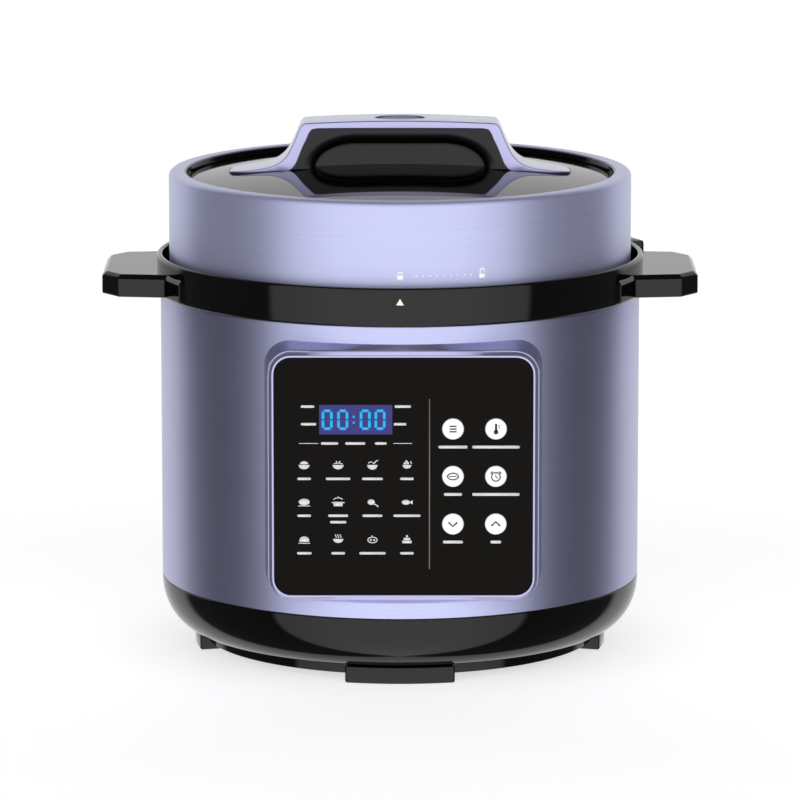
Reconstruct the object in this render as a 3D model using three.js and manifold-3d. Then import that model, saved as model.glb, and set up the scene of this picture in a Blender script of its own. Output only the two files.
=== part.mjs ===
// Electric pressure cooker, in millimetres, +Z up, front towards -Y, floor at z = 0.
import * as THREE from "three";
import { mergeVertices } from "three/addons/utils/BufferGeometryUtils.js";
import Module from "manifold-3d";

const wasm = await Module();
wasm.setup();

const ringSegments = 48;
const smallSegments = 20;
const gap = 0.3;

// Main levels and radii.
const shellRadius = 136;
const shellWall = 0.8;
const shellBottom = 41.2;
const shellTop = 204.2;
const collarRadius = 138;
const collarInner = 134.8;
const collarBottom = 204.6;
const bowlFloor = 10;
const footTop = 9.7;
const lidRadius = 131;
const lidInner = 128.5;
const lidSkirtBottom = 219;
const lidRimTop = 272.2;
const lidRimRound = 3;
const lidRimInner = 121;
const ledgeTop = 264.9;
const domeTop = 276.5;
const domeRadius = 850;
const discRadius = 118.5;
const discThickness = 3;

// Cooking chamber.
const potOuter = 109;
const potWall = 1.5;
const potFloor = 48;
const potRimTop = 205.8;
const potCorner = 10;
const canRadius = 120.8;
const canWall = 0.8;
const canFloor = 36;
const canTop = 203.4;
const plateRadius = 95;
const plateBottom = 38;
const plateTop = 47.6;
const sensorHole = 16.5;

// Bayonet lock: ring lugs above, lid lugs below.
const lugCount = 8;
const lugWidthDeg = 19.6;
const ringInner = 122;
const ringOuter = 127.6;
const ringBottom = 203.8;
const ringTop = 216;
const ringLugInner = 115.5;
const ringLugBottom = 212.5;
const lidLugOuter = 121;
const lidLugBottom = 208.8;
const lidLugTop = 212.1;
const pressureLidTop = 213.9;
const pressureLidRadius = 114.5;

// Control panel, a flat fascia in a raised frame.
const panelX = 1.85;
const fasciaZ = 121.7;
const fasciaWidth = 141.5;
const fasciaHeight = 132;
const fasciaCorner = 9.2;
const fasciaFront = -139.1;
const fasciaBack = -137.1;
const frameWidth = 152.9;
const frameHeight = 144.5;
const frameZ = 122.35;
const frameCorner = 15;
const frameFront = -139.6;
const keyRadius = 5.8;
const keyColumns = [29, 52.5];
const keyRows = [148.3, 121.9, 95.3];

// Power inlet at the back, with its face as far out as the panel frame.
const inletZ = 68;
const inletFace = 139.6;

// Side handles and lid handle.
const handleBottom = 206;
const handleTop = 218.7;
const handleBevel = 2.4;
const gripTopZ = 298.2;
const gripHalfDepthTop = 16;
const gripHalfDepthBottom = 19.5;
const gripHalfLength = 97;
const recessHalf = 47.6;
const recessTop = 288.6;
const webHalf = 6;
const buttonLength = 27.6;
const buttonWidth = 19;

const object = new THREE.Group();
object.name = "pressure_cooker";

const colours = {
  violet: 0x9a9cbc,
  black: 0x161616,
  gloss: 0x0c0c0e,
  steel: 0xc4c6c8,
  aluminium: 0xb4b6b8,
  silicone: 0xe4e4e0,
  board: 0x1f5a36,
  white: 0xf2f2f4,
  screen: 0x3a3f8c,
};

// ---------- helpers ----------

// Reverses every triangle of an indexed geometry when its signed volume is negative.
function facingOut(geometry) {
  const p = geometry.attributes.position;
  const index = geometry.index;
  const a = new THREE.Vector3();
  const b = new THREE.Vector3();
  const c = new THREE.Vector3();
  let volume = 0;
  for (let i = 0; i < index.count; i += 3) {
    a.fromBufferAttribute(p, index.getX(i));
    b.fromBufferAttribute(p, index.getX(i + 1));
    c.fromBufferAttribute(p, index.getX(i + 2));
    volume += a.dot(b.cross(c));
  }
  if (volume < 0) {
    for (let i = 0; i < index.count; i += 3) {
      const first = index.getX(i);
      index.setX(i, index.getX(i + 1));
      index.setX(i + 1, first);
    }
  }
  return geometry;
}

// A closed geometry as a solid, ready to add, subtract or intersect.
function solid(geometry) {
  const plain = geometry.clone();
  plain.deleteAttribute("normal");
  plain.deleteAttribute("uv");
  const merged = facingOut(mergeVertices(plain, 1e-4));
  return new wasm.Manifold(
    new wasm.Mesh({
      numProp: 3,
      vertProperties: new Float32Array(merged.attributes.position.array),
      triVerts: new Uint32Array(merged.index.array),
    })
  );
}

// Adds one named mesh made from a solid.
function place(name, body, colour) {
  const made = body.getMesh();
  const geometry = new THREE.BufferGeometry();
  const positions = new Float32Array(made.vertProperties);
  geometry.setAttribute("position", new THREE.BufferAttribute(positions, 3));
  geometry.setIndex(new THREE.BufferAttribute(new Uint32Array(made.triVerts), 1));
  geometry.computeVertexNormals();
  const mesh = new THREE.Mesh(geometry, new THREE.MeshStandardMaterial({ color: colour }));
  mesh.name = name;
  object.add(mesh);
}

// Points on an ellipse between two angles in degrees.
function arc(cx, cy, rx, ry, from, to, steps) {
  const points = [];
  for (let i = 0; i <= steps; i++) {
    const angle = THREE.MathUtils.degToRad(from + ((to - from) * i) / steps);
    points.push([cx + rx * Math.cos(angle), cy + ry * Math.sin(angle)]);
  }
  return points;
}

// A body of revolution about the vertical axis through (x, y); the profile closes itself.
function turned(profile, x = 0, y = 0, segments = ringSegments) {
  const points = profile.map(([r, z]) => new THREE.Vector2(r, z));
  const [first, last] = [profile[0], profile[profile.length - 1]];
  if (first[0] > 0 || last[0] > 0) {
    points.push(new THREE.Vector2(first[0], first[1]));
  }
  const geometry = new THREE.LatheGeometry(points, segments);
  return solid(geometry.rotateX(Math.PI / 2).translate(x, y, 0));
}

function box(x0, x1, y0, y1, z0, z1) {
  const geometry = new THREE.BoxGeometry(x1 - x0, y1 - y0, z1 - z0);
  return solid(geometry.translate((x0 + x1) / 2, (y0 + y1) / 2, (z0 + z1) / 2));
}

function cylinder(radius, z0, z1, x = 0, y = 0, segments = ringSegments) {
  return turned([[0, z0], [radius, z0], [radius, z1], [0, z1]], x, y, segments);
}

// A flat outline in x and y raised from z0 to z1, with an optional bevel on both ends.
function raised(shape, z0, z1, bevel = 0, curveSegments = 10) {
  const settings = {
    depth: z1 - z0 - 2 * bevel,
    bevelEnabled: bevel > 0,
    bevelThickness: bevel,
    bevelSize: bevel,
    bevelOffset: -bevel,
    bevelSegments: 1,
    curveSegments,
  };
  return solid(new THREE.ExtrudeGeometry(shape, settings).translate(0, 0, z0 + bevel));
}

function polygon(points) {
  return new THREE.Shape(points.map(([x, y]) => new THREE.Vector2(x, y)));
}

function roundedRectangle(cx, cy, width, height, r) {
  const [w, h] = [width / 2 - r, height / 2 - r];
  return polygon([
    ...arc(cx + w, cy - h, r, r, -90, 0, 6),
    ...arc(cx + w, cy + h, r, r, 0, 90, 6),
    ...arc(cx - w, cy + h, r, r, 90, 180, 6),
    ...arc(cx - w, cy - h, r, r, 180, 270, 6),
  ]);
}

// An outline in x and z carried along y from y0 to y1.
function frontal(shape, y0, y1, bevel = 0) {
  const body = raised(shape, -y1, -y0, bevel);
  return body.rotate([90, 0, 0]);
}

// A block bounded by two radii, two angles and two levels.
function sector(r0, r1, a0, a1, z0, z1, steps = 8) {
  const shape = polygon([...arc(0, 0, r1, r1, a0, a1, steps), ...arc(0, 0, r0, r0, a1, a0, steps)]);
  return raised(shape, z0, z1);
}

// A round wire along a smooth path through the given points.
function wire(points, radius, steps, sides = 8) {
  const path = new THREE.CatmullRomCurve3(points.map(([x, y, z]) => new THREE.Vector3(x, y, z)));
  const section = polygon(arc(0, 0, radius, radius, 0, 360 - 360 / sides, sides - 1));
  return solid(new THREE.ExtrudeGeometry(section, { steps, extrudePath: path, bevelEnabled: false }));
}

// A closed wire ring lying flat.
function wireRing(radius, tube, z) {
  return solid(new THREE.TorusGeometry(radius, tube, 6, ringSegments).translate(0, 0, z));
}

function helixPoints(x, y, radius, z0, z1, turns) {
  const points = [];
  const count = turns * 8;
  for (let i = 0; i <= count; i++) {
    const angle = (2 * Math.PI * turns * i) / count;
    const z = z0 + ((z1 - z0) * i) / count;
    points.push([x + radius * Math.cos(angle), y + radius * Math.sin(angle), z]);
  }
  return points;
}

// Eight lugs, evenly spaced, centred on the front.
function lugs(r0, r1, z0, z1) {
  let all = null;
  for (let i = 0; i < lugCount; i++) {
    const middle = -90 + (360 * i) / lugCount;
    const lug = sector(r0, r1, middle - lugWidthDeg / 2, middle + lugWidthDeg / 2, z0, z1, 5);
    all = all ? all.add(lug) : lug;
  }
  return all;
}

// ---------- base housing, plate and feet ----------

{
  const outer = arc(112, 39, 24, 29, -90, 0, 7);
  const inner = arc(111.5, 39.1, 20, 26.5, 0, -90, 5);
  const bowl = turned([
    [70, bowlFloor], ...outer, [136, 40.9], [134.5, 40.9], [134.5, 46], [131.5, 46], ...inner, [70, 12.6],
  ]);
  place("base_housing", bowl, colours.black);

  const plateShape = new THREE.Shape().absarc(0, 0, 92, 0, 2 * Math.PI, false);
  for (let i = 0; i < 12; i++) {
    const angle = (2 * Math.PI * i) / 12;
    const slot = arc(0, 0, 52, 52, 0, 12, 3).concat(arc(0, 0, 36, 36, 12, 0, 3));
    const turn = ([x, y]) => [
      x * Math.cos(angle) - y * Math.sin(angle),
      x * Math.sin(angle) + y * Math.cos(angle),
    ];
    plateShape.holes.push(polygon(slot.map(turn)));
  }
  place("base_plate", raised(plateShape, 7.9, footTop, 0, 18), colours.black);

  const screwRing = 81;
  for (let i = 0; i < 4; i++) {
    const angle = Math.PI / 4 + (i * Math.PI) / 2;
    const screw = turned(
      [[0, 6.6], [1.2, 5.8], [3.4, 5.8], [4, 6.6], [4, 7.6], [0, 7.6]],
      screwRing * Math.cos(angle), screwRing * Math.sin(angle), 16
    );
    place("base_screw_" + (i + 1), screw, colours.steel);
  }

  const feet = { foot_front: -90, foot_right: 0, foot_back: 90, foot_left: 180 };
  for (const [name, middle] of Object.entries(feet)) {
    const outline = [
      ...arc(0, 0, 117.5, 117.5, middle - 14.7, middle + 14.7, 8),
      ...arc(0, 0, 100, 100, middle + 14.7, middle - 14.7, 8),
    ];
    place(name, raised(polygon(outline), 0, footTop, 1), colours.black);
  }
}

// ---------- outer shell ----------

{
  const drum = turned([
    [shellRadius - shellWall, shellBottom], [shellRadius, shellBottom],
    [shellRadius, shellTop], [shellRadius - shellWall, shellTop],
  ]);
  const panelWindow = box(-66, 70, -150, -100, 58, 185);
  const inletWindow = box(-15.4, 15.4, 100, 150, inletZ - 11.4, inletZ + 11.4);
  place("outer_shell", drum.subtract(panelWindow).subtract(inletWindow), colours.violet);
}

// ---------- collar, side handles ----------

{
  const collar = turned([
    [128.3, collarBottom], [collarRadius, collarBottom], [collarRadius, 224],
    ...arc(136.2, 224, 1.8, 1.8, 30, 90, 2), ...arc(136.2, 224.4, 1.4, 1.4, 100, 180, 2),
    [collarInner, 206.8], [128.3, 206.8],
  ]);
  place("collar_ring", collar, colours.black);

  const outline = [
    [120, -46], [130, -46], [132, -44], [157.8, -44], [167.8, -30],
    [167.8, 30], [157.8, 44], [132, 44], [130, 46], [120, 46],
  ];
  const core = cylinder(collarRadius + gap, 190, 240);
  const topHalf = box(-200, 200, -100, 100, handleBottom, 240);
  for (const [name, side] of [["handle_right", 1], ["handle_left", -1]]) {
    const shape = polygon(outline.map(([x, y]) => [side * x, side * y]));
    const slab = raised(shape, handleBottom - 10, handleTop, handleBevel);
    place(name, slab.intersect(topHalf).subtract(core), colours.black);
  }
}

// ---------- cooking chamber, heater ----------

{
  const can = turned([
    [88, canFloor], [canRadius, canFloor], [canRadius, 202.2], [133.5, 202.2], [133.5, canTop],
    [canRadius - canWall, canTop], [canRadius - canWall, canFloor + 1.2], [88, canFloor + 1.2],
  ]);
  place("outer_pot", can, colours.aluminium);

  const ring = turned([
    [ringInner, ringBottom], [ringOuter, ringBottom], [ringOuter, ringTop], [ringInner, ringTop],
  ]);
  place("locking_ring", ring.add(lugs(ringLugInner, ringInner + 1, ringLugBottom, ringTop)), colours.steel);

  const plate = turned([
    [sensorHole, plateBottom], [plateRadius, plateBottom], [plateRadius, 43],
    [92, plateTop], [sensorHole, plateTop],
  ]);
  place("heating_plate", plate, colours.aluminium);

  const coil = arc(0, 0, 70, 70, -75, 255, 44).map(([x, y]) => [x, y, 33.7]);
  place("heating_element", wire(coil, 4, 36), colours.steel);

  const bracket = box(-40, 40, -8, 8, 20, 21.2)
    .add(box(-40, -38.8, -8, 8, 20, 37.6))
    .add(box(38.8, 40, -8, 8, 20, 37.6));
  place("sensor_bracket", bracket, colours.steel);
  place("sensor_spring", wire(helixPoints(0, 0, 7, 22.2, 32.8, 4), 0.8, 40, 5), colours.steel);
  const sensor = turned(
    [[0, 34], [9, 34], [9, 40], [15, 40], [15, 47], [14.2, 47.8], [0, 47.8]], 0, 0, smallSegments
  );
  place("temperature_sensor", sensor, colours.aluminium);

  place("thermal_fuse", box(-14, 14, 26, 33, 31, 37.6), colours.white);
  place("pressure_switch", box(-12, 12, -44, -24, 24, 37.6), colours.black);

  const board = box(-50, 50, 30, 84, 15, 16.6)
    .add(box(-44, -14, 38, 66, 16, 28))
    .add(box(-4, 18, 36, 58, 16, 27))
    .add(cylinder(7, 16, 27, 32, 46, 20))
    .add(box(-30, 30, 72, 80, 16, 23));
  place("power_board", board, colours.board);

  const corner = potCorner - potWall;
  const inside = potOuter - potWall;
  const pot = turned([
    [0, potFloor], ...arc(potOuter - potCorner, potFloor + potCorner, potCorner, potCorner, -90, 0, 4),
    [potOuter, 200], [113, 203.4], [113, potRimTop], [inside, potRimTop],
    ...arc(inside - corner, potFloor + potCorner, corner, corner, 0, -90, 4), [0, potFloor + potWall],
  ]);
  place("inner_pot", pot, colours.aluminium);
}

// ---------- control panel ----------

{
  const outline = roundedRectangle(panelX, frameZ, frameWidth, frameHeight, frameCorner);
  const block = frontal(outline, frameFront, -100, 2.7);
  const openingWidth = fasciaWidth + 2 * gap;
  const openingHeight = fasciaHeight + 2 * gap;
  const opening = frontal(
    roundedRectangle(panelX, fasciaZ, openingWidth, openingHeight, fasciaCorner + gap), -150, -90
  );
  const drum = cylinder(shellRadius + gap, 30, 220);
  place("panel_frame", block.subtract(opening).subtract(drum), colours.violet);

  let fascia = frontal(
    roundedRectangle(panelX, fasciaZ, fasciaWidth, fasciaHeight, fasciaCorner), fasciaFront, fasciaBack
  );
  const [screenLeft, screenRight, screenBottom, screenTop] = [-44.3, -4.1, 145.2, 162.5];
  fascia = fascia.subtract(
    box(screenLeft - gap, screenRight + gap, -150, -120, screenBottom - gap, screenTop + gap)
  );
  let keyCount = 0;
  for (const z of keyRows) {
    for (const x of keyColumns) {
      fascia = fascia.subtract(cylinder(keyRadius + gap, -5, 5, 0, 0, smallSegments)
        .scale([1, 1, 10]).rotate([90, 0, 0]).translate([x, -138, z]));
      const cap = turned(
        [[0, 139.6], [keyRadius, 139.6], [keyRadius, 136.8], [6.8, 136.8], [6.8, 135.8], [0, 135.8]],
        0, 0, smallSegments
      );
      keyCount += 1;
      place("key_" + keyCount, cap.rotate([90, 0, 0]).translate([x, 0, z]), colours.white);
    }
  }
  place("panel_fascia", fascia, colours.gloss);
  place(
    "display_window",
    box(screenLeft, screenRight, fasciaFront, -137.4, screenBottom, screenTop), colours.screen
  );
  place("display_module", box(-46, -2, -136.9, -134.4, 143, 164.5), colours.board);
  place("control_board", box(-60, 64, -134, -132.4, 64, 180), colours.board);
}

// ---------- power inlet ----------

{
  const flange = box(-25, 25, 125, inletFace, inletZ - 18, inletZ + 18)
    .subtract(cylinder(shellRadius + gap, 30, 220));
  const body = box(-15, 15, 121.3, 137, inletZ - 11, inletZ + 11);
  const socket = box(-12, 12, 122.6, 150, inletZ - 8, inletZ + 8);
  place("power_inlet", flange.add(body).subtract(socket), colours.black);
  const pins = { inlet_pin_earth: [0, 2], inlet_pin_live: [-7, -2], inlet_pin_neutral: [7, -2] };
  for (const [name, [x, dz]] of Object.entries(pins)) {
    place(name, box(x - 1, x + 1, 122.7, 134.5, inletZ + dz - 2, inletZ + dz + 2), colours.steel);
  }
}

// ---------- condensate cup ----------

{
  const hood = sector(collarRadius + gap, 151.5, 21, 60, handleBottom, 223.4)
    .subtract(sector(141, 149.5, 28, 56, 200, 216));
  const rail = sector(shellRadius + gap, 139.4, 27, 57, 160, handleBottom + 1)
    .subtract(cylinder(collarRadius + gap, 204, 230));
  place("cup_bracket", hood.add(rail), colours.black);
  const cup = sector(139.8, 150, 29, 55, 165, 205.6).subtract(sector(141.3, 148.5, 30, 54, 166.5, 210));
  place("condensate_cup", cup, colours.black);
}

// ---------- lid: pressure side ----------

{
  const ventX = 0;
  const ventY = 62;
  const floatX = -34;
  const floatY = 44;
  const seal = turned([
    [104.5, 206.2], [112, 206.2], [112, 212], [110, 212],
    [110, 208.2], [106.5, 208.2], [106.5, 212], [104.5, 212],
  ]);
  place("sealing_ring", seal, colours.silicone);
  const plate = turned([
    [0, 212.4], [112.9, 212.4], [112.9, lidLugBottom], [pressureLidRadius, lidLugBottom],
    [pressureLidRadius, pressureLidTop], [0, pressureLidTop],
  ]);
  const pressureLid = plate
    .add(lugs(pressureLidRadius - 1, lidLugOuter, lidLugBottom, lidLugTop))
    .subtract(cylinder(3, 200, 220, ventX, ventY, smallSegments))
    .subtract(cylinder(3.5, 200, 220, floatX, floatY, smallSegments));
  place("pressure_lid", pressureLid, colours.steel);
  place("seal_retainer", wireRing(102.6, 1.1, 210.9), colours.steel);

  const shield = turned([[0, 203.5], [10, 203.5], [11.5, 205], [11.5, 212.1], [10.3, 212.1], [10.3, 205.5],
    [0, 204.9]], ventX, ventY, smallSegments);
  let slotted = shield;
  for (let i = 0; i < 4; i++) {
    const slot = box(-15, 15, -1, 1, 206.5, 210.5).rotate([0, 0, i * 45]).translate([ventX, ventY, 0]);
    slotted = slotted.subtract(slot);
  }
  place("vent_shield", slotted, colours.steel);
  const pipe = [[3, 214.2], [12, 214.2], [12, 216], [6, 218], [6, 248], [4, 250], [3, 250]];
  place("steam_pipe", turned(pipe, ventX, ventY, smallSegments), colours.steel);
  place(
    "valve_weight",
    turned([[0, 250.4], [5.5, 250.4], [6.8, 248.8], [6.8, 240], [10, 240], [10, 258], [8, 262], [0, 262]],
      ventX, ventY, smallSegments),
    colours.black
  );
  const float = [
    [0, 204.6], [5, 204.6], [5, 205.8], [2.2, 205.8], [2.2, 208],
    [2.9, 208.6], [2.9, 214.2], [5, 214.2], [5, 217.2], [0, 217.2],
  ];
  place("float_valve", turned(float, floatX, floatY, smallSegments), colours.steel);
  place(
    "float_seal",
    turned([[2.5, 206.1], [4.8, 206.1], [4.8, 207.7], [2.5, 207.7]], floatX, floatY, smallSegments),
    colours.silicone
  );
  place(
    "lid_post",
    turned([[0, 214.2], [30, 214.2], [30, 216], [12, 218], [12, 262], [0, 262]], 0, 0, smallSegments),
    colours.steel
  );
}

// ---------- lid: cover, disc, handle ----------

{
  const cover = turned([
    [lidInner, lidSkirtBottom], [lidRadius, lidSkirtBottom],
    ...arc(lidRadius - lidRimRound, lidRimTop - lidRimRound, lidRimRound, lidRimRound, 0, 90, 5),
    [lidRimInner, lidRimTop], [lidRimInner, ledgeTop], [114, ledgeTop], [114, 262.5], [lidInner, 262.5],
  ]);
  place("lid_cover", cover, colours.violet);
  place(
    "lid_base_ring",
    turned([[118, 219.2], [lidInner - gap, 219.2], [lidInner - gap, 221.2], [118, 221.2]]), colours.black
  );

  const domeHeight = (r) => domeTop - (r * r) / (2 * domeRadius);
  const domeSteps = [0, 20, 40, 60, 80, 100, discRadius];
  const top = domeSteps.map((r) => [r, domeHeight(r)]);
  const under = domeSteps.map((r) => [r, domeHeight(r) - discThickness]);
  const disc = turned([...under, ...top.reverse()]);
  place("lid_disc", disc.subtract(cylinder(7, 200, 300, 0, 62, smallSegments)), colours.gloss);

  const lifted = domeSteps.map((r) => [r, domeHeight(r) + gap]);
  const domeCutter = turned([[0, 200], [discRadius, 200], ...lifted.reverse()]);
  const rightEdge = [
    [20, 301.75], [40, 301], [55.1, 300], [57.7, 295.4], [61.3, 286.2], [64.9, 281.2], [70.3, 277],
    [78.4, 275.2], [91, 273.9], [gripHalfLength, 273], [gripHalfLength, 262],
  ];
  const mirrored = (points) => points.map(([x, z]) => [-x, z]).reverse();
  const archShape = polygon([...mirrored(rightEdge), [0, 302], ...rightEdge].reverse());
  const coreEdge = [[44.4, gripTopZ - 0.2], [47, 297.2], [48.4, 295], [58.6, 276.3], [61, 262]];
  const coreShape = (grow) => polygon(
    [...mirrored(coreEdge), ...coreEdge].map(([x, z]) => [x + Math.sign(x) * grow, z + grow]).reverse()
  );
  const taper = (inset) => {
    const [wide, narrow] = [gripHalfDepthBottom - inset, gripHalfDepthTop - inset];
    const section = polygon([[-wide, 268], [wide, 268], [narrow, 302.5], [-narrow, 302.5]]);
    return raised(section, -100, 100).rotate([90, 0, 90]);
  };
  const stadium = raised(roundedRectangle(0, 0, 2 * gripHalfLength, 43, 21.4), 240, 310);
  const buttonHole = (grow, z0, z1) => {
    const oval = new THREE.Shape();
    oval.absellipse(0, 0, buttonLength / 2 + grow, buttonWidth / 2 + grow, 0, 2 * Math.PI, false, 0);
    return raised(oval, z0, z1, 0, 16);
  };
  const arch = frontal(archShape, -30, 30).intersect(taper(0)).intersect(stadium)
    .subtract(frontal(coreShape(gap), -40, 40))
    .subtract(domeCutter)
    .subtract(buttonHole(0.5, 280, 310));
  place("handle_cover", arch, colours.violet);

  const recess = frontal(roundedRectangle(0, recessTop - 14, 2 * recessHalf, 28, 4), webHalf, 60)
    .add(frontal(roundedRectangle(0, recessTop - 14, 2 * recessHalf, 28, 4), -60, -webHalf));
  const core = frontal(coreShape(0), -30, 30).intersect(taper(0.6)).subtract(domeCutter).subtract(recess)
    .subtract(buttonHole(0.8, 290.2, 310));
  place("handle_core", core, colours.black);
  place("release_button", buttonHole(0, 296.2, 301.4), colours.violet);
  place("release_spring", wire(helixPoints(0, 0, 5, 291.3, 295.1, 3), 0.7, 30, 5), colours.steel);

  let vent = turned([[0, 275.5], [14, 275.5], [14, 278.8], [12.4, 280.4], [0, 280.4]], 0, 62, smallSegments);
  for (const side of [-1, 0, 1]) {
    vent = vent.subtract(box(-9, 9, 62 + side * 6 - 1, 62 + side * 6 + 1, 278, 290));
  }
  place("steam_vent_cap", vent, colours.black);
}

export default object;
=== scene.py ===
import math

import bmesh
import bpy
import numpy as np
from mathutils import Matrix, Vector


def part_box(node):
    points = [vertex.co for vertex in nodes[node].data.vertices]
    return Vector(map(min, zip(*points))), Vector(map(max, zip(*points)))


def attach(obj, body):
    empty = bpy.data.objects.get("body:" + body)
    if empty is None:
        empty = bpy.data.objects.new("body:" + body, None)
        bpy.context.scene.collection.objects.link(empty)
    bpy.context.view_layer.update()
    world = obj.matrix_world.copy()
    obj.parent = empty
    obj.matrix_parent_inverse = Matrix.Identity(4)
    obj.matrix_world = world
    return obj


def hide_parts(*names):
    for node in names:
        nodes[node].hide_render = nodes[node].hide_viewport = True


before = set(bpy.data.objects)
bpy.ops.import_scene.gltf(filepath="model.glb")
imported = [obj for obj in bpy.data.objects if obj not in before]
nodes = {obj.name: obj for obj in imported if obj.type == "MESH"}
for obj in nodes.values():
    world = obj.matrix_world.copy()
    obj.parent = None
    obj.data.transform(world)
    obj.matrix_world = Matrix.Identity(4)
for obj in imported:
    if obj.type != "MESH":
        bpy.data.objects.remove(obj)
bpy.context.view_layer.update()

# An electric pressure cooker. Measures are in millimetres in the frame's own axes: X to the right, Y to
# the back, Z up from the floor. Angles are in degrees.
print("frame loaded:", len(nodes), "nodes")


# tools for shapes

def boxOf(node):
    # lowest and highest corner of a frame node
    low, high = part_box(node)
    return np.array(low) * 1000, np.array(high) * 1000


def finishMesh(name, points, faces, sharpDegrees=38, weld=True):
    # points and face indices become a welded, outward-facing object at the origin, in metres
    mesh = bpy.data.meshes.new(name)
    mesh.from_pydata((np.asarray(points, float) * 0.001).tolist(), [], [list(f) for f in faces])
    work = bmesh.new()
    work.from_mesh(mesh)
    if weld:
        bmesh.ops.remove_doubles(work, verts=work.verts, dist=2e-6)
        bmesh.ops.recalc_face_normals(work, faces=work.faces)
    work.to_mesh(mesh)
    work.free()
    mesh.shade_smooth()
    mesh.set_sharp_from_angle(angle=math.radians(sharpDegrees))
    piece = bpy.data.objects.new(name, mesh)
    bpy.context.collection.objects.link(piece)
    return piece


def cutAway(piece, cutter, sharpDegrees=38):
    # the cutter's volume is taken out of the piece for good, and the cutter goes
    cut = piece.modifiers.new("cut", "BOOLEAN")
    cut.operation, cut.object, cut.solver = "DIFFERENCE", cutter, "EXACT"
    ready = piece.evaluated_get(bpy.context.evaluated_depsgraph_get())
    shaped = bpy.data.meshes.new_from_object(ready)
    shaped.set_sharp_from_angle(angle=math.radians(sharpDegrees))
    piece.modifiers.clear()
    piece.data = shaped
    bpy.data.objects.remove(cutter)


def gridFaces(rows, columns, closeRows, closeColumns, start=0):
    # quads of a grid whose rows and columns may each join up with themselves
    i, j = np.meshgrid(np.arange(rows if closeRows else rows - 1),
                       np.arange(columns if closeColumns else columns - 1), indexing="ij")
    nextI, nextJ = (i + 1) % rows, (j + 1) % columns
    quads = np.stack([i * columns + j, nextI * columns + j,
                      nextI * columns + nextJ, i * columns + nextJ], -1)
    return (quads.reshape(-1, 4) + start).tolist()


def surface(name, grid, closeRows=False, closeColumns=True, sharpDegrees=38):
    # one mesh from a grid of points, rows by columns by xyz
    rows, columns = grid.shape[:2]
    faces = gridFaces(rows, columns, closeRows, closeColumns)
    return finishMesh(name, grid.reshape(-1, 3), faces, sharpDegrees)


def joined(name, grids, sharpDegrees=38):
    # several closed grids in one mesh: each entry is (grid, closeRows, closeColumns)
    points, faces, start = [], [], 0
    for grid, closeRows, closeColumns in grids:
        rows, columns = grid.shape[:2]
        points.append(grid.reshape(-1, 3))
        faces += gridFaces(rows, columns, closeRows, closeColumns, start)
        start += rows * columns
    return finishMesh(name, np.concatenate(points), faces, sharpDegrees)


def filleted(corners, closed=True, steps=5):
    # corners are (a, b, radius): each gives way to an arc about the point on its bisector that is one
    # radius from both sides, drawn by turning evenly from one touching point to the other
    pts = np.array([c[:2] for c in corners], float)
    out, count = [], len(corners)
    for k, corner in enumerate(corners):
        radius = corner[2] if len(corner) > 2 else 0
        if radius <= 0 or (not closed and k in (0, count - 1)):
            out.append(pts[k][None])
            continue
        before, after = pts[k - 1] - pts[k], pts[(k + 1) % count] - pts[k]
        lengths = np.linalg.norm(before), np.linalg.norm(after)
        u, v = before / lengths[0], after / lengths[1]
        half = math.acos(np.clip(u @ v, -1, 1)) / 2
        reach = min(radius / math.tan(half), 0.49 * lengths[0], 0.49 * lengths[1])
        radius = reach * math.tan(half)
        centre = pts[k] + (u + v) / np.linalg.norm(u + v) * radius / math.sin(half)
        a, b = pts[k] + u * reach - centre, pts[k] + v * reach - centre
        angle = math.pi - 2 * half
        t = np.linspace(0, 1, steps + 1)[:, None]
        out.append(centre + (np.sin((1 - t) * angle) * a + np.sin(t * angle) * b) / math.sin(angle))
    return np.concatenate(out)


def turnedGrid(profile, around=192, centre=(0, 0)):
    # x = radius times cosine, y = radius times sine, z = height, for every profile point at every angle
    theta = np.linspace(0, 2 * np.pi, around, endpoint=False)
    r, z = profile[:, 0][:, None], profile[:, 1][:, None]
    return np.stack([centre[0] + r * np.cos(theta), centre[1] + r * np.sin(theta),
                     np.broadcast_to(z, (len(profile), around))], -1)


def turned(name, corners, around=192, closed=True, centre=(0, 0), steps=5):
    # a profile of (radius, height, fillet) corners carried round a vertical axis
    profile = filleted(corners, closed, steps)
    return surface(name, turnedGrid(profile, around, centre), closed)


def insetOutline(outline, inset):
    # every point of an anticlockwise outline moves inwards, square to the line between its neighbours
    tangent = np.roll(outline, -1, 0) - np.roll(outline, 1, 0)
    tangent /= np.linalg.norm(tangent, axis=1)[:, None] + 1e-12
    return outline + inset * np.stack([-tangent[:, 1], tangent[:, 0]], 1)


def stackGrid(outline, rows):
    # rows are (inset, height): the outline shrinks by the inset at that height; both ends close to a point
    layers = [np.column_stack([insetOutline(outline, d), np.full(len(outline), z)]) for d, z in rows]
    middle = np.tile(outline.mean(0), (len(outline), 1))
    bottom, top = (np.column_stack([middle, layers[k][:, 2]]) for k in (0, -1))
    return np.stack([bottom, *layers, top])


def slab(name, rows, sharpDegrees):
    # closed outlines stacked on each other, with one flat face at each end
    rows = np.stack(rows)
    count, columns = rows.shape[:2]
    faces = gridFaces(count, columns, False, True)
    faces += [list(range(columns)), list(range((count - 1) * columns, count * columns))]
    piece = finishMesh(name, rows.reshape(-1, 3), faces, sharpDegrees)
    for face in piece.data.polygons:
        if face.loop_total > 4:
            face.use_smooth = False
    return piece


def facingFront(grid):
    # turns (x, z, height) into the frame: height grows towards the front
    return np.stack([grid[..., 0], -grid[..., 2], grid[..., 1]], -1)


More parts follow.
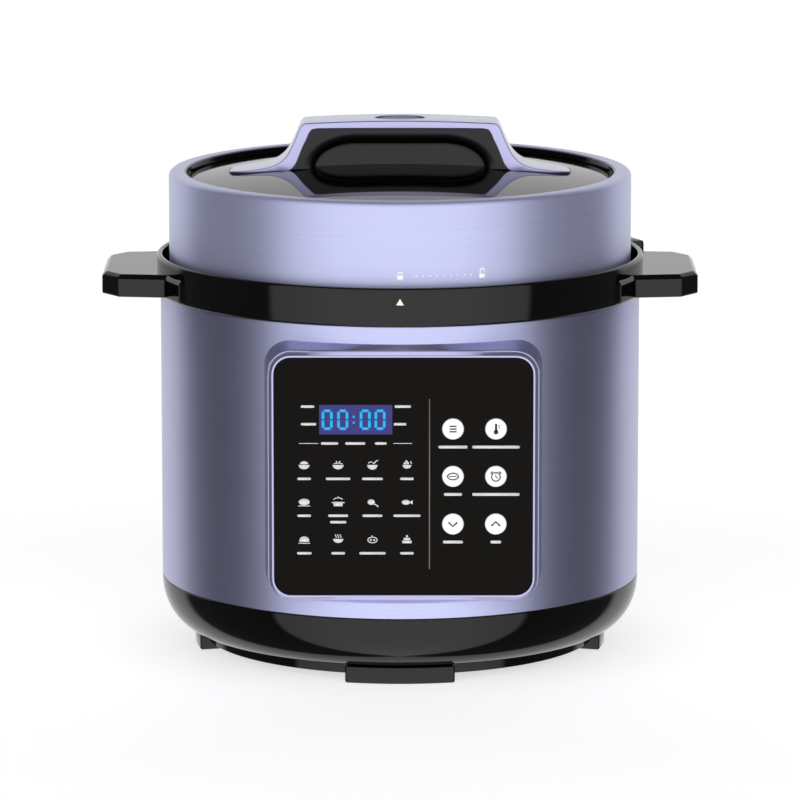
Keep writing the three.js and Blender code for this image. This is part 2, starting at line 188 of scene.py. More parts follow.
def densified(outline, spacing):
    # long straight sides get points of their own, so that insets and wraps stay even
    nextPoint = np.roll(outline, -1, 0)
    gaps = np.linalg.norm(nextPoint - outline, axis=1)
    counts = np.maximum(1, np.ceil(gaps / spacing)).astype(int)
    return np.concatenate([a + (b - a) * np.linspace(0, 1, n, endpoint=False)[:, None]
                           for a, b, n in zip(outline, nextPoint, counts)])


def spacedEvenly(line, count, closed=False):
    # the same line with its points at equal steps of its own length
    if closed:
        line = np.concatenate([line, line[:1]])
    along = np.concatenate([[0], np.cumsum(np.linalg.norm(np.diff(line, axis=0), axis=1))])
    at = np.linspace(0, along[-1], count, endpoint=not closed)
    return np.column_stack([np.interp(at, along, line[:, k]) for k in (0, 1)])


def roundedBox(cx, cy, width, height, radius, steps=10):
    # an upright rectangle about a middle, its four corners filleted
    w, h = width / 2, height / 2
    corners = [(cx + w, cy - h, radius), (cx + w, cy + h, radius),
               (cx - w, cy + h, radius), (cx - w, cy - h, radius)]
    return densified(filleted(corners, True, steps), 4.0)


def ellipse(a, b, count=96):
    # half width times cosine, half depth times sine
    t = np.linspace(0, 2 * np.pi, count, endpoint=False)
    return np.column_stack([a * np.cos(t), b * np.sin(t)])


def sectorOutline(inner, outer, start, end, corner):
    # a patch between two radii and two angles, anticlockwise, its four corners filleted
    t = np.radians(np.linspace(start, end, 25))
    far = np.column_stack([outer * np.cos(t), outer * np.sin(t)])
    near = np.column_stack([inner * np.cos(t[::-1]), inner * np.sin(t[::-1])])
    corners = [(*p, corner if k in (0, 24) else 0) for side in (far, near) for k, p in enumerate(side)]
    return filleted(corners, True, 4)


def dress(piece, body, material, slotName, *replaced):
    # material, stood-for nodes and body in one go; the record slot name is not used
    piece.data.materials.clear()
    piece.data.materials.append(material)
    if replaced:
        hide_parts(*replaced)
    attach(piece, body)
    return piece


# tools for finishes

def toLinear(code):
    # sRGB hex to the linear colour a shader wants
    s = np.array([int(code[i:i + 2], 16) for i in (1, 3, 5)]) / 255
    linear = np.where(s <= 0.04045, s / 12.92, ((s + 0.055) / 1.055) ** 2.4)
    return (*linear.tolist(), 1.0)


def cells(size):
    # noise cells per metre, for a pattern whose grains are this many millimetres
    return 1000.0 / size


def addNode(tree, kind, settings=None, values=None, links=None):
    # one node with its settings, socket values and incoming links
    node = tree.nodes.new(kind)
    for key, value in (settings or {}).items():
        setattr(node, key, value)
    for key, value in (values or {}).items():
        node.inputs[key].default_value = value
    for key, source in (links or {}).items():
        tree.links.new(source, node.inputs[key])
    return node


def newMaterial(name, **sockets):
    # a Principled material with even values on its own sockets
    material = bpy.data.materials.new(name)
    material.use_nodes = True
    shader = material.node_tree.nodes["Principled BSDF"]
    for key, value in sockets.items():
        shader.inputs[key].default_value = value
    return material, material.node_tree, shader


# finishes

# the button's violets below are painted shade: darker than the surround's, for the shade over its dish
violet = {"sheetDark": "#c4c7ee", "sheetLight": "#cfd2f8", "hairline": 0.4, "hairlineLength": 110,
          "paintDark": "#b1b0da", "paintLight": "#bebde6", "paintRoughness": 0.3,
          "buttonShadedDark": "#474557", "buttonShadedLight": "#525063", "buttonRoughness": 0.45, "flake": 0.55}


def brushedViolet(name, metallic):
    # thin metal sheet, brushed round the drum, dyed violet and lacquered. The eye sees level hairlines,
    # and a highlight that the brushing draws out up and down. Less metallic is paler where it is dark.
    material, tree, shader = newMaterial(name, **{
        "Metallic": metallic, "Anisotropic": 0.6, "Anisotropic Rotation": 0.25, "Coat Weight": 0.5,
        "Coat Roughness": 0.3})
    place = addNode(tree, "ShaderNodeTexCoord")
    # real hairlines are about 0.05 mm apart: they are drawn 0.4 mm apart so that they show
    across, along = cells(violet["hairlineLength"]), cells(violet["hairline"])
    hair = addNode(tree, "ShaderNodeMapping", values={"Scale": (across, across, along)},
                   links={"Vector": place.outputs["Object"]})
    lines = addNode(tree, "ShaderNodeTexNoise", values={"Scale": 1.0, "Detail": 3.0, "Roughness": 0.6},
                    links={"Vector": hair.outputs["Vector"]})
    tone = addNode(tree, "ShaderNodeMapRange", values={"From Min": 0.3, "From Max": 0.7},
                   links={"Value": lines.outputs["Fac"]})
    colour = addNode(tree, "ShaderNodeMix", {"data_type": "RGBA"},
                     {6: toLinear(violet["sheetDark"]), 7: toLinear(violet["sheetLight"])},
                     {0: tone.outputs["Result"]})
    tree.links.new(colour.outputs[2], shader.inputs["Base Color"])
    rough = addNode(tree, "ShaderNodeMapRange",
                    values={"From Min": 0.3, "From Max": 0.7, "To Min": 0.46, "To Max": 0.52},
                    links={"Value": lines.outputs["Fac"]})
    tree.links.new(rough.outputs["Result"], shader.inputs["Roughness"])
    bump = addNode(tree, "ShaderNodeBump", values={"Strength": 0.05, "Distance": 0.0001},
                   links={"Height": lines.outputs["Fac"]})
    tree.links.new(bump.outputs["Normal"], shader.inputs["Normal"])
    around = addNode(tree, "ShaderNodeTangent", {"direction_type": "RADIAL", "axis": "Z"})
    tree.links.new(around.outputs["Tangent"], shader.inputs["Tangent"])
    return material


def paintedViolet(name, dark, light, roughness, metallic=0.85):
    # ABS sprayed with metallic paint under clear lacquer. The eye sees a soft even sheen, and a fine
    # sparkle in it.
    material, tree, shader = newMaterial(name, **{
        "Metallic": metallic, "Coat Weight": 0.7, "Coat Roughness": 0.12})
    place = addNode(tree, "ShaderNodeTexCoord")
    # real flakes are about 0.03 mm: they are drawn coarser so that they show
    flake = addNode(tree, "ShaderNodeTexNoise", values={"Scale": cells(violet["flake"]), "Detail": 1.0},
                    links={"Vector": place.outputs["Object"]})
    colour = addNode(tree, "ShaderNodeMix", {"data_type": "RGBA"},
                     {6: toLinear(dark), 7: toLinear(light)}, {0: flake.outputs["Fac"]})
    tree.links.new(colour.outputs[2], shader.inputs["Base Color"])
    rough = addNode(tree, "ShaderNodeMapRange",
                    values={"To Min": roughness - 0.05, "To Max": roughness + 0.05},
                    links={"Value": flake.outputs["Fac"]})
    tree.links.new(rough.outputs["Result"], shader.inputs["Roughness"])
    return material


def mouldedBlack(name, roughness, grain, colour, specular=0.5):
    # injection-moulded black plastic. The eye sees the tool's finish: a mirror where it was polished, and
    # a fine grain where it was spark-eroded, with the gloss worn a little uneven.
    material, tree, shader = newMaterial(name, **{
        "Base Color": toLinear(colour), "IOR": 1.5, "Specular IOR Level": specular})
    place = addNode(tree, "ShaderNodeTexCoord")
    pits = addNode(tree, "ShaderNodeTexNoise", values={"Scale": cells(0.65), "Detail": 2.0},
                   links={"Vector": place.outputs["Object"]})
    patches = addNode(tree, "ShaderNodeTexNoise", values={"Scale": cells(28), "Detail": 3.0},
                      links={"Vector": place.outputs["Object"]})
    rough = addNode(tree, "ShaderNodeMapRange",
                    values={"From Min": 0.3, "From Max": 0.7,
                            "To Min": roughness * 0.85, "To Max": roughness * 1.15},
                    links={"Value": patches.outputs["Fac"]})
    tree.links.new(rough.outputs["Result"], shader.inputs["Roughness"])
    bump = addNode(tree, "ShaderNodeBump", values={"Strength": grain, "Distance": 0.00004},
                   links={"Height": pits.outputs["Fac"]})
    tree.links.new(bump.outputs["Normal"], shader.inputs["Normal"])
    return material


def toolMarkedMetal(name, dark, light, roughness, markSize):
    # bare metal, turned, cast or rolled. The eye sees the tool's marks, paler and darker by turns.
    material, tree, shader = newMaterial(name, Metallic=1.0)
    place = addNode(tree, "ShaderNodeTexCoord")
    stretch = addNode(tree, "ShaderNodeMapping", values={"Scale": tuple(cells(size) for size in markSize)},
                      links={"Vector": place.outputs["Object"]})
    marks = addNode(tree, "ShaderNodeTexNoise", values={"Scale": 1.0, "Detail": 3.0},
                    links={"Vector": stretch.outputs["Vector"]})
    colour = addNode(tree, "ShaderNodeMix", {"data_type": "RGBA"}, {6: toLinear(dark), 7: toLinear(light)},
                     {0: marks.outputs["Fac"]})
    tree.links.new(colour.outputs[2], shader.inputs["Base Color"])
    rough = addNode(tree, "ShaderNodeMapRange",
                    values={"To Min": roughness - 0.08, "To Max": roughness + 0.08},
                    links={"Value": marks.outputs["Fac"]})
    tree.links.new(rough.outputs["Result"], shader.inputs["Roughness"])
    return material


def plain(name, dark, light, roughness, mottleSize=2.5, **sockets):
    # an even finish: the eye sees one colour, kept from looking flat by a very faint mottle
    material, tree, shader = newMaterial(name, **{"Roughness": roughness, **sockets})
    place = addNode(tree, "ShaderNodeTexCoord")
    mottle = addNode(tree, "ShaderNodeTexNoise", values={"Scale": cells(mottleSize), "Detail": 2.0},
                     links={"Vector": place.outputs["Object"]})
    colour = addNode(tree, "ShaderNodeMix", {"data_type": "RGBA"}, {6: toLinear(dark), 7: toLinear(light)},
                     {0: mottle.outputs["Fac"]})
    tree.links.new(colour.outputs[2], shader.inputs["Base Color"])
    return material


def glow(colour, strength):
    # light of the material's own, as two even sockets
    return {"Emission Color": toLinear(colour), "Emission Strength": strength}


# drum and lid skirt: the same sheet, but the skirt is a metallised film, so its dark sides stay paler
violetSheet = brushedViolet("brushedVioletSheet", 1.0)
violetLidSheet = brushedViolet("brushedVioletFilm", 0.74)
# lid handle and panel surround, and the button, its violet darkened as painted shade for the shade the
# handle casts over its dish
violetPaint = paintedViolet("paintedVioletAbs", violet["paintDark"], violet["paintLight"],
                            violet["paintRoughness"])
violetButtonPaintedShade = paintedViolet("paintedVioletButtonShade", violet["buttonShadedDark"], violet["buttonShadedLight"],
                             violet["buttonRoughness"], 0.4)
# high-polish ABS: long crisp streaks of light on the bowl, collar and side grips
blackSatin = mouldedBlack("polishedBlackAbs", 0.07, 0.0, "#050505", 0.4)
# spark-eroded polypropylene: dull charcoal with no clear highlight
blackGrain = mouldedBlack("grainedBlackPolypropylene", 0.45, 0.25, "#121213")
# clear-topped acrylic of the lid disc: mirrors the handle that stands on it
blackGlass = mouldedBlack("polishedBlackAcrylic", 0.05, 0.0, "#060607", 0.4)
# acrylic painted warm black on its back: deep and even, with hardly any reflection from the front
blackPanel = mouldedBlack("backPaintedBlackAcrylic", 0.12, 0.0, "#120f0c", 0.05)
# lightly satined ABS of the handle core: broad soft greys that show its hollow
blackCore = mouldedBlack("satinBlackAbs", 0.22, 0.03, "#080808", 0.4)
# spun pot: bright, with level rings left by the roller
spunAluminium = toolMarkedMetal("spunAluminium", "#b9bcbf", "#d8dadc", 0.34, (70, 70, 0.45))
# die-cast and milled heating plate: greyer, with an even sandy grain
castAluminium = toolMarkedMetal("machinedCastAluminium", "#a5a8ab", "#c9cbcd", 0.45, (1.1, 1.1, 1.1))
# stamped stainless lid parts: a cool soft mirror with level lines
satinSteel = toolMarkedMetal("satinStainlessSteel", "#aeb1b4", "#cfd1d3", 0.3, (70, 70, 0.45))
# zinc-coated can: dull grey with broad cloudy spangles
galvanised = toolMarkedMetal("galvanisedSteel", "#959a9e", "#b9bdc0", 0.42, (16, 16, 16))
# milky rubber that lets a little light in at its edges
silicone = plain("translucentSilicone", "#dcdcd6", "#e8e8e3", 0.5, 8, **{"Subsurface Weight": 0.3})
# the green lacquer of a circuit board, half gloss
boardGreen = plain("solderMaskGreen", "#154a2b", "#1d6239", 0.35, 3.3)
# fired glaze, off-white and shiny
whiteCeramic = plain("glazedCeramic", "#e4e2da", "#f0eee8", 0.3)
# white ABS with a faint glow painted in, painted light that keeps it the whitest thing on the panel
keyWhiteGlowing = plain("whiteAbsKeyPaintedGlow", "#f2f2f4", "#f8f8fa", 0.25, **glow("#ffffff", 0.12))
# screen-printed inks: matt and even; the second white one carries a painted glow, painted light that keeps
# it white where the metal under it is in shade
printWhite = plain("whiteScreenPrint", "#e9e9ec", "#f2f2f4", 0.4, 1.1)
printPaintedGlow = plain("whiteScreenPrintPaintedGlow", "#f4f4f8", "#fafafc", 0.4, 1.1, **glow("#ffffff", 0.3))
printBlack = plain("blackScreenPrint", "#101012", "#17171a", 0.4, 1.1)
printGrey = plain("greyScreenPrint", "#77736f", "#827e7a", 0.4, 1.1)
# dark tinted polycarbonate of the drip cup: a black body with a sharp highlight
smokedCup = plain("smokedPolycarbonate", "#17171a", "#1e1e22", 0.12, 5)
# liquid crystal window lit from behind: a flat violet-blue that doesn't change with the room
displayBlue = plain("backlitBlueDisplay", "#1c1c40", "#22224a", 0.25, 2,
                    **{"Specular IOR Level": 0.2, **glow("#3f3d8c", 0.6)})
# its figures: clear cyan, brighter than the window
displayCyan = plain("litBlueFigures", "#0a3a4c", "#0c4054", 0.4, 2, **glow("#10b4f4", 0.95))
print("finishes ready")


# drum: the brushed violet cylinder

drum = {"radius": 136.0, "wall": 0.8, "bottom": 41.2, "top": 204.2, "edge": 0.4,
        "inletWidth": 30.8, "inletBottom": 56.6, "inletTop": 79.4}


def makeDrum():
    # a four-cornered wall profile carried round the axis, with a window at the back for the power inlet
    d = drum
    inside = d["radius"] - d["wall"]
    corners = [(inside, d["bottom"]), (d["radius"], d["bottom"], d["edge"]),
               (d["radius"], d["top"], d["edge"]), (inside, d["top"])]
    shell = turned("drumShell", corners, 256)
    opening = roundedBox(0, 125, d["inletWidth"], 50, 0.5, 2)
    cutAway(shell, surface("inletWindow", stackGrid(opening, [(0, d["inletBottom"]), (0, d["inletTop"])])))
    dress(shell, "base", violetSheet, "violet_metal", "outer_shell")


# base: the black bowl under the drum, its standing ring and four feet

base = {"standRadius": 112.0, "reach": 24.0, "middle": 39.0, "depth": 29.0,
        "innerStand": 111.5, "innerReach": 20.0, "innerMiddle": 39.1, "innerDepth": 26.5,
        "openingRadius": 70, "ringInside": 104, "ringBottom": 4.5, "floor": 10,
        "rim": [[136, 40.5], [135.6, 40.9], [134.5, 40.9], [134.5, 46], [131.5, 46]]}
foot = {"inner": 100, "outer": 117.5, "halfAngle": 15.2, "corner": 4.0, "height": 9.7,
        "middles": {"front": -90, "right": 0, "back": 90, "left": 180}}


def makeBase():
    # two quarter ellipses carried round the axis: the radius grows with the cosine and the height with the
    # sine of the same angle, outside and inside, joined by a flat floor and a stepped rim
    b = base
    t = np.radians(np.linspace(-90, 0, 25))[:, None]
    outer = np.hstack([b["standRadius"] + b["reach"] * np.cos(t), b["middle"] + b["depth"] * np.sin(t)])
    inner = np.hstack([b["innerStand"] + b["innerReach"] * np.cos(t),
                       b["innerMiddle"] + b["innerDepth"] * np.sin(t)])[::-1]
    floor, low, ring, stand = b["floor"], b["ringBottom"], b["ringInside"], b["standRadius"]
    bottom = [[b["openingRadius"], floor + 2.6], [b["openingRadius"], floor], [ring, floor],
              [ring + 0.4, low + 0.3], [ring + 0.8, low], [stand - 0.4, low], [stand, low + 0.4],
              [stand, floor - 0.4]]
    profile = np.concatenate([bottom, outer, b["rim"], inner])
    dress(surface("baseBowl", turnedGrid(profile, 256), True), "base", blackSatin, "black_plastic",
          "base_housing")
    high = foot["height"]
    rows = [(1.6, 0), (0.5, 0.3), (0, 1.2), (0, high - 0.8), (0.5, high - 0.1), (1.6, high)]
    for name, middle in foot["middles"].items():
        outline = sectorOutline(foot["inner"], foot["outer"], middle - foot["halfAngle"],
                                middle + foot["halfAngle"], foot["corner"])
        dress(surface("foot_" + name + "_pad", stackGrid(outline, rows)), "base", blackSatin,
              "black_plastic", "foot_" + name)


# collar: the black ring round the mouth

collar = {"radius": 138.0, "bottom": 204.6, "top": 225.8, "lip": 134.8, "floor": 206.8, "inside": 128.3,
          "roll": 1.8}


def makeCollar():
    # a filleted profile carried round the axis: rolled top edge, upright lip and level inner floor
    c = collar
    corners = [(c["inside"], c["bottom"]), (c["radius"] - 0.6, c["bottom"], 0.3),
               (c["radius"], c["bottom"] + 0.8, 0.4), (c["radius"], c["top"], c["roll"]),
               (c["lip"], c["top"], 1.2), (c["lip"], c["floor"], 1.0), (c["inside"], c["floor"], 0.4)]
    dress(turned("collarRing", corners, 256), "base", blackSatin, "black_plastic", "collar_ring")


# side grips: corners from the root to the tip as (x, y, fillet), and levels as (inset, height)

sideGrip = {"corners": [(120.9, 66.2, 0.0), (123.2, 67.6, 0.5), (132.0, 47.4, 1.0), (158.2, 44.0, 1.5),
                        (167.8, 30.4, 1.5)],
            "levels": [(0.8, 206.0), (0.3, 206.2), (0, 206.7), (0, 216.0), (0.1, 216.3), (2.3, 218.5),
                       (2.6, 218.66), (3.0, 218.7)],
            "rootRadius": 136.5, "rootAngle": 28.2}


def makeSideHandles():
    # an outline with cut corners and a flared root, stacked in height and chamfered round its top. A
    # corner moves in along the bisector of its two sides by the inset over the cosine of half their turn.
    half = np.array(sideGrip["corners"])
    inward = np.radians(np.linspace(sideGrip["rootAngle"], -sideGrip["rootAngle"], 25))
    root = sideGrip["rootRadius"]
    hidden = np.column_stack([root * np.cos(inward), root * np.sin(inward), 0 * inward])
    shown = np.concatenate([half * [1, -1, 1], half[::-1]])
    ring = np.concatenate([hidden[-1:], shown, hidden[:1]])[:, :2]
    sides = np.diff(ring, axis=0)
    normals = np.column_stack([-sides[:, 1], sides[:, 0]]) / np.linalg.norm(sides, axis=1)[:, None]
    bisector = normals[:-1] + normals[1:]
    bisector /= (1 + (normals[:-1] * normals[1:]).sum(1))[:, None]
    for side, name in ((1, "right"), (-1, "left")):
        rows = []
        for inset, level in sideGrip["levels"]:
            inner = np.column_stack([shown[:, :2] + bisector * inset, shown[:, 2]])
            inner[[0, -1], :2] = shown[[0, -1], :2]  # the root's ends stay inside the collar at every level
            corners = np.concatenate([inner, hidden]).tolist()
            line = filleted([tuple(corner) for corner in corners], True, 8)
            rows.append(np.column_stack([line * [side, 1], np.full(len(line), level)]))
        dress(slab("sideGrip_" + name, rows, 30), "base", blackSatin, "black_plastic", "handle_" + name)


# drip cup at the right rear: hood on the collar, rail behind it, cup hung between them

cup = {"hoodRadii": (138.3, 151.5), "hoodAngles": (21, 60), "hoodBottom": 206, "hoodTop": 223.4,
       "railRadii": (136.3, 139.3), "railAngles": (27, 57), "railBottom": 160,
       "radii": (139.8, 150), "angles": (29, 55), "bottom": 165, "top": 205.6, "wall": 1.5}


def makeCup():
    # patches of a ring stacked in height, with rounded edges; the cup's rows turn down inside its wall
    c = cup
    low, high = c["hoodBottom"], c["hoodTop"]
    hood = stackGrid(sectorOutline(*c["hoodRadii"], *c["hoodAngles"], 2.0),
                     [(1.0, low), (0.2, low + 0.4), (0, low + 1), (0, high - 1.6), (0.5, high - 0.4),
                      (1.6, high)])
    rail = stackGrid(sectorOutline(*c["railRadii"], *c["railAngles"], 0.6),
                     [(0.3, c["railBottom"]), (0, c["railBottom"] + 0.5), (0, low + 1)])
    dress(joined("cupHood", [(hood, False, True), (rail, False, True)]), "base", blackSatin,
          "black_plastic", "cup_bracket")
    low, high, wall = c["bottom"], c["top"], c["wall"]
    rows = [(1.6, low), (0.4, low + 0.4), (0, low + 1.2), (0, high - 0.8), (0.4, high), (wall - 0.5, high),
            (wall, high - 0.8), (wall, low + 2.5), (wall + 0.7, low + 1.6)]
    dress(surface("drainCup", stackGrid(sectorOutline(*c["radii"], *c["angles"], 2.5), rows)),
          "condensate_cup", smokedCup, "clear_cup", "condensate_cup")


makeDrum()
makeBase()
makeCollar()
makeSideHandles()
makeCup()
print("body made")


# cooking chamber, seen with the lid off

can = {"radius": 120.8, "wall": 0.8, "bottom": 36, "flange": 133.5, "top": 203.4, "opening": 88}
hotPlate = {"radius": 95, "hole": 16.5, "bottom": 38, "shoulder": 43, "top": 47.6, "grooves": (60, 30)}
probe = {"stem": 9, "cap": 15, "bottom": 34, "step": 40, "top": 47.8}
pot = {"inside": 107.5, "outside": 109, "rim": 113.2, "bottom": 48, "top": 205.8, "floor": 1.5,
       "marks": (170, 140, 100)}


def makeChamber():
    # every piece is a filleted profile carried round the axis. The can: a thin wall with a flange, open in
    # the middle of its floor
    c = can
    inside, floor = c["radius"] - c["wall"], c["bottom"] + c["wall"]
    under = c["top"] - c["wall"]
    dress(turned("heatCan", [(c["opening"], c["bottom"]), (c["radius"], c["bottom"], 3),
                             (c["radius"], under), (c["flange"], under), (c["flange"], c["top"]),
                             (inside, c["top"], 0.8), (inside, floor, 2), (c["opening"], floor)], 160),
          "base", galvanised, "steel", "outer_pot")
    # the heating plate: a raised middle with two turned grooves
    p = hotPlate
    grooves = []
    for r in p["grooves"]:
        grooves += [(r, p["top"]), (r - 0.4, p["top"] - 0.4), (r - 1, p["top"] - 0.4), (r - 1.4, p["top"])]
    dress(turned("heatPlate", [(p["hole"], p["bottom"]), (p["radius"], p["bottom"]),
                               (p["radius"], p["shoulder"], 1), (p["radius"] - 3, p["top"], 1.5), *grooves,
                               (p["hole"], p["top"], 0.6)], 128),
          "base", castAluminium, "cast_aluminium", "heating_plate")
    # the sensor: a stem under a wider cap
    s = probe
    dress(turned("probeCap", [(0, s["bottom"]), (s["stem"], s["bottom"]), (s["stem"], s["step"]),
                              (s["cap"], s["step"]), (s["cap"], s["top"], 1.2), (0, s["top"])], 64, False),
          "temperature_sensor", castAluminium, "cast_aluminium", "temperature_sensor")
    # the pot: straight wall, rounded floor, rolled rim, and level marks pressed in as shallow rings
    q = pot
    corners = [(0, q["bottom"]), (q["outside"], q["bottom"], 10), (q["outside"], 200, 2),
               (q["rim"], q["top"] - 3.2, 1.2), (q["rim"], q["top"], 1.2), (q["inside"], q["top"], 1.0)]
    for level in q["marks"]:
        corners += [(q["inside"], level + 0.5), (q["inside"] + 0.25, level), (q["inside"], level - 0.5)]
    corners += [(q["inside"], q["bottom"] + q["floor"], 8.5), (0, q["bottom"] + q["floor"])]
    grid = turnedGrid(filleted(corners, False, 8), 192)
    dress(surface("cookingPot", grid, sharpDegrees=30), "inner_pot", spunAluminium, "cast_aluminium",
          "inner_pot")


# bayonet lock: ring and plate with eight lugs each, seal and its wire

lugs = {"count": 8, "halfAngle": 9.8, "corner": 1.0, "edge": 0.4,
        "ring": (115.5, 122.5, 212.5, 216), "plate": (114.0, 121, 208.8, 212.1)}
lockRing = [(122, 203.8), (127.6, 203.8, 0.6), (127.6, 216, 0.8), (122, 216, 0.6)]
lidPlate = [(0, 212.4), (112.9, 212.4, 0.4), (112.9, 208.8), (114.5, 208.8), (114.5, 213.9, 1.2),
            (0, 213.9)]
seal = {"inner": 104.5, "outer": 112, "bottom": 206.2, "top": 212, "lip": 2, "wireRadius": 102.6,
        "wireHeight": 210.9, "wireHalf": 1.0}


def lugGrids(inner, outer, bottom, top):
    # patches of a ring at even angles, each stacked in height with a small chamfer at both ends
    edge = lugs["edge"]
    rows = [(edge, bottom), (0, bottom + edge), (0, top - edge), (edge, top)]
    grids = []
    for middle in np.arange(lugs["count"]) * 360 / lugs["count"] - 90:
        outline = sectorOutline(inner, outer, middle - lugs["halfAngle"], middle + lugs["halfAngle"],
                                lugs["corner"])
        grids.append((stackGrid(outline, rows), False, True))
    return grids


def makeLock():
    # filleted profiles carried round the axis; the lugs are let into them by about half a millimetre
    ring = (turnedGrid(filleted(lockRing, True, 4), 160), True, True)
    dress(joined("lockRing", [ring, *lugGrids(*lugs["ring"])]), "base", satinSteel, "steel", "locking_ring")
    plate = (turnedGrid(filleted(lidPlate, False, 4), 160), False, True)
    dress(joined("pressurePlate", [plate, *lugGrids(*lugs["plate"])]), "lid", satinSteel, "steel",
          "pressure_lid")
    s = seal
    low, high, groove = s["bottom"], s["top"], s["bottom"] + s["lip"]
    dress(turned("lipSeal", [(s["inner"], low, 0.5), (s["outer"], low, 0.8), (s["outer"], high, 0.4),
                             (s["outer"] - s["lip"], high, 0.4), (s["outer"] - s["lip"], groove, 0.5),
                             (s["inner"] + s["lip"], groove, 0.5), (s["inner"] + s["lip"], high, 0.4),
                             (s["inner"], high, 0.4)], 160),
          "lid_carrier", silicone, "silicone", "sealing_ring")
    # the wire: a small circle carried round the axis
    wire = ellipse(s["wireHalf"], s["wireHalf"], 12) + [s["wireRadius"], s["wireHeight"]]
    dress(surface("sealWire", turnedGrid(wire, 160), True), "lid_carrier", satinSteel, "steel",
          "seal_retainer")


# lid cover, its disc and the vent cap

lid = {"radius": 131.0, "wall": 2.5, "bottom": 219.0, "rim": 272.2, "round": 3.0, "rimInner": 122.0,
       "underRim": 262.5, "ledge": 264.9, "ringInside": 114}
disc = {"radius": 118.5, "top": 276.5, "curve": 850.0, "thickness": 3.0}
vent = {"y": 62, "radius": 14, "bottom": 275.5, "top": 280.4, "recess": 0.6, "barLength": 15,
        "barWidth": 2.2, "barGap": 6}


def domeHeight(r):
    # a parabola: the top less the radius squared over twice the radius of curvature
    return disc["top"] - r * r / (2 * disc["curve"])


def makeLid():
    # skirt and flat rim in one profile, with a black ring inside it that makes the groove round the disc
    c = lid
    r, low, top, rim, under = c["radius"], c["bottom"], c["rim"], c["rimInner"], c["underRim"]
    corners = [(r - c["wall"], low, 0.3), (r, low, 0.6), (r, top, c["round"]), (rim, top, 0.5),
               (rim, under), (r - c["wall"], under)]
    dress(turned("lidShell", corners, 256, steps=10), "lid", violetLidSheet, "violet_paint", "lid_cover")
    corners = [(rim - 0.1, top - 0.6), (rim - 0.1, under + 0.1), (c["ringInside"], under + 0.1),
               (c["ringInside"], c["ledge"]), (rim - 1, c["ledge"], 0.6), (rim - 1, top - 0.6, 0.4)]
    dress(turned("lidInnerRing", corners, 256), "lid", blackSatin, "black_plastic")
    # the disc's profile: the dome out to a small rolled edge, and the same dome back below it
    radius = disc["radius"]
    edgeTop = domeHeight(radius)
    r = np.linspace(0, radius - 0.8, 40)
    up = np.column_stack([r, domeHeight(r)])
    edge = np.array([[radius - 0.25, edgeTop - 0.15], [radius, edgeTop - 0.7], [radius, edgeTop - 2.95]])
    down = (up - [0, disc["thickness"]])[::-1]
    grid = turnedGrid(np.concatenate([up, edge, down]), 256)
    dress(surface("lidDisc", grid, sharpDegrees=25), "lid", blackGlass, "gloss_black", "lid_disc")
    # vent cap behind the handle: a turned cap, with three bars let into its top
    v = vent
    r, low, top, sunk = v["radius"], v["bottom"], v["top"], v["top"] - v["recess"]
    corners = [(0, low), (r, low), (r, top, 1.8), (r - 3, top, 0.2), (r - 3.4, sunk), (0, sunk)]
    dress(turned("ventCap", corners, 96, False, (0, v["y"])), "lid", blackGrain, "black_plastic",
          "steam_vent_cap")
    bars = []
    for shift in (-v["barGap"], 0, v["barGap"]):
        outline = roundedBox(0, v["y"] + shift, v["barLength"] - abs(shift) / 2, v["barWidth"],
                             v["barWidth"] / 2, 5)
        bars.append((stackGrid(outline, [(0, sunk - 0.3), (0, top - 0.3), (0.3, top - 0.05)]), False, True))
    dress(joined("ventBars", bars), "lid", blackSatin, "black_plastic")


# lid handle: stations from the tongue's tip to the middle, as outer x and z, inner x and z, and the half
# depth outside and inside

grip = {"stations": np.array([
            (97.0, 271.5, 96.9, 270.9, 3.0, 3.0),
            (96.2, 272.1, 95.6, 271.0, 7.6, 7.8),
            (93.0, 272.7, 92.0, 271.3, 12.2, 12.4),
            (88.5, 273.3, 87.0, 271.8, 15.0, 15.2),
            (82.5, 274.1, 80.5, 272.4, 16.4, 16.6),
            (77.0, 275.0, 74.0, 273.0, 16.9, 17.2),
            (72.0, 276.3, 67.5, 273.5, 17.3, 17.8),
            (67.6, 278.6, 61.8, 274.0, 17.6, 18.5),
            (64.2, 282.0, 58.8, 277.2, 17.3, 18.5),
            (61.6, 286.2, 56.9, 281.4, 17.1, 18.0),
            (59.3, 291.2, 54.7, 286.8, 16.6, 17.4),
            (57.4, 295.8, 52.4, 291.6, 16.0, 16.9),
            (56.0, 298.6, 51.2, 294.4, 15.6, 16.6),
            (54.2, 300.2, 49.8, 296.5, 15.4, 16.4),
            (51.0, 300.6, 47.4, 297.2, 15.3, 16.2),
            (44.0, 300.9, 41.5, 297.35, 15.3, 16.1),
            (30.0, 301.45, 28.0, 297.4, 15.5, 16.1),
            (15.0, 301.85, 14.0, 297.4, 15.8, 16.3),
            (0.0, 302.0, 0.0, 297.4, 16.0, 16.4)]),
        "edge": 0.8}
button = {"halfWidth": 13.8, "halfDepth": 9.5, "gap": 0.4, "bottom": 300.0, "top": 301.25, "dish": 0.9,
          "wellBottom": 291.5}


def smoothStations(count):
    # the stations mirrored from tip to tip, then a cubic through them by arc length: each pair of
    # stations is blended by the four weights that match both places and both slopes
    stations = grip["stations"]
    mirrored = stations[:-1].copy()
    mirrored[:, (0, 2)] *= -1
    full = np.concatenate([mirrored, stations[::-1]])
    along = np.concatenate([[0], np.cumsum(np.linalg.norm(np.diff(full[:, :2], axis=0), axis=1))])
    at = np.linspace(0, along[-1], count)
    slope = np.gradient(full, along, axis=0)
    k = np.clip(np.searchsorted(along, at, side="right") - 1, 0, len(along) - 2)
    h = (along[k + 1] - along[k])[:, None]
    t = ((at - along[k])[:, None]) / h
    return ((2 * t ** 3 - 3 * t ** 2 + 1) * full[k] + (t ** 3 - 2 * t ** 2 + t) * h * slope[k]
            + (-2 * t ** 3 + 3 * t ** 2) * full[k + 1] + (t ** 3 - t ** 2) * h * slope[k + 1])


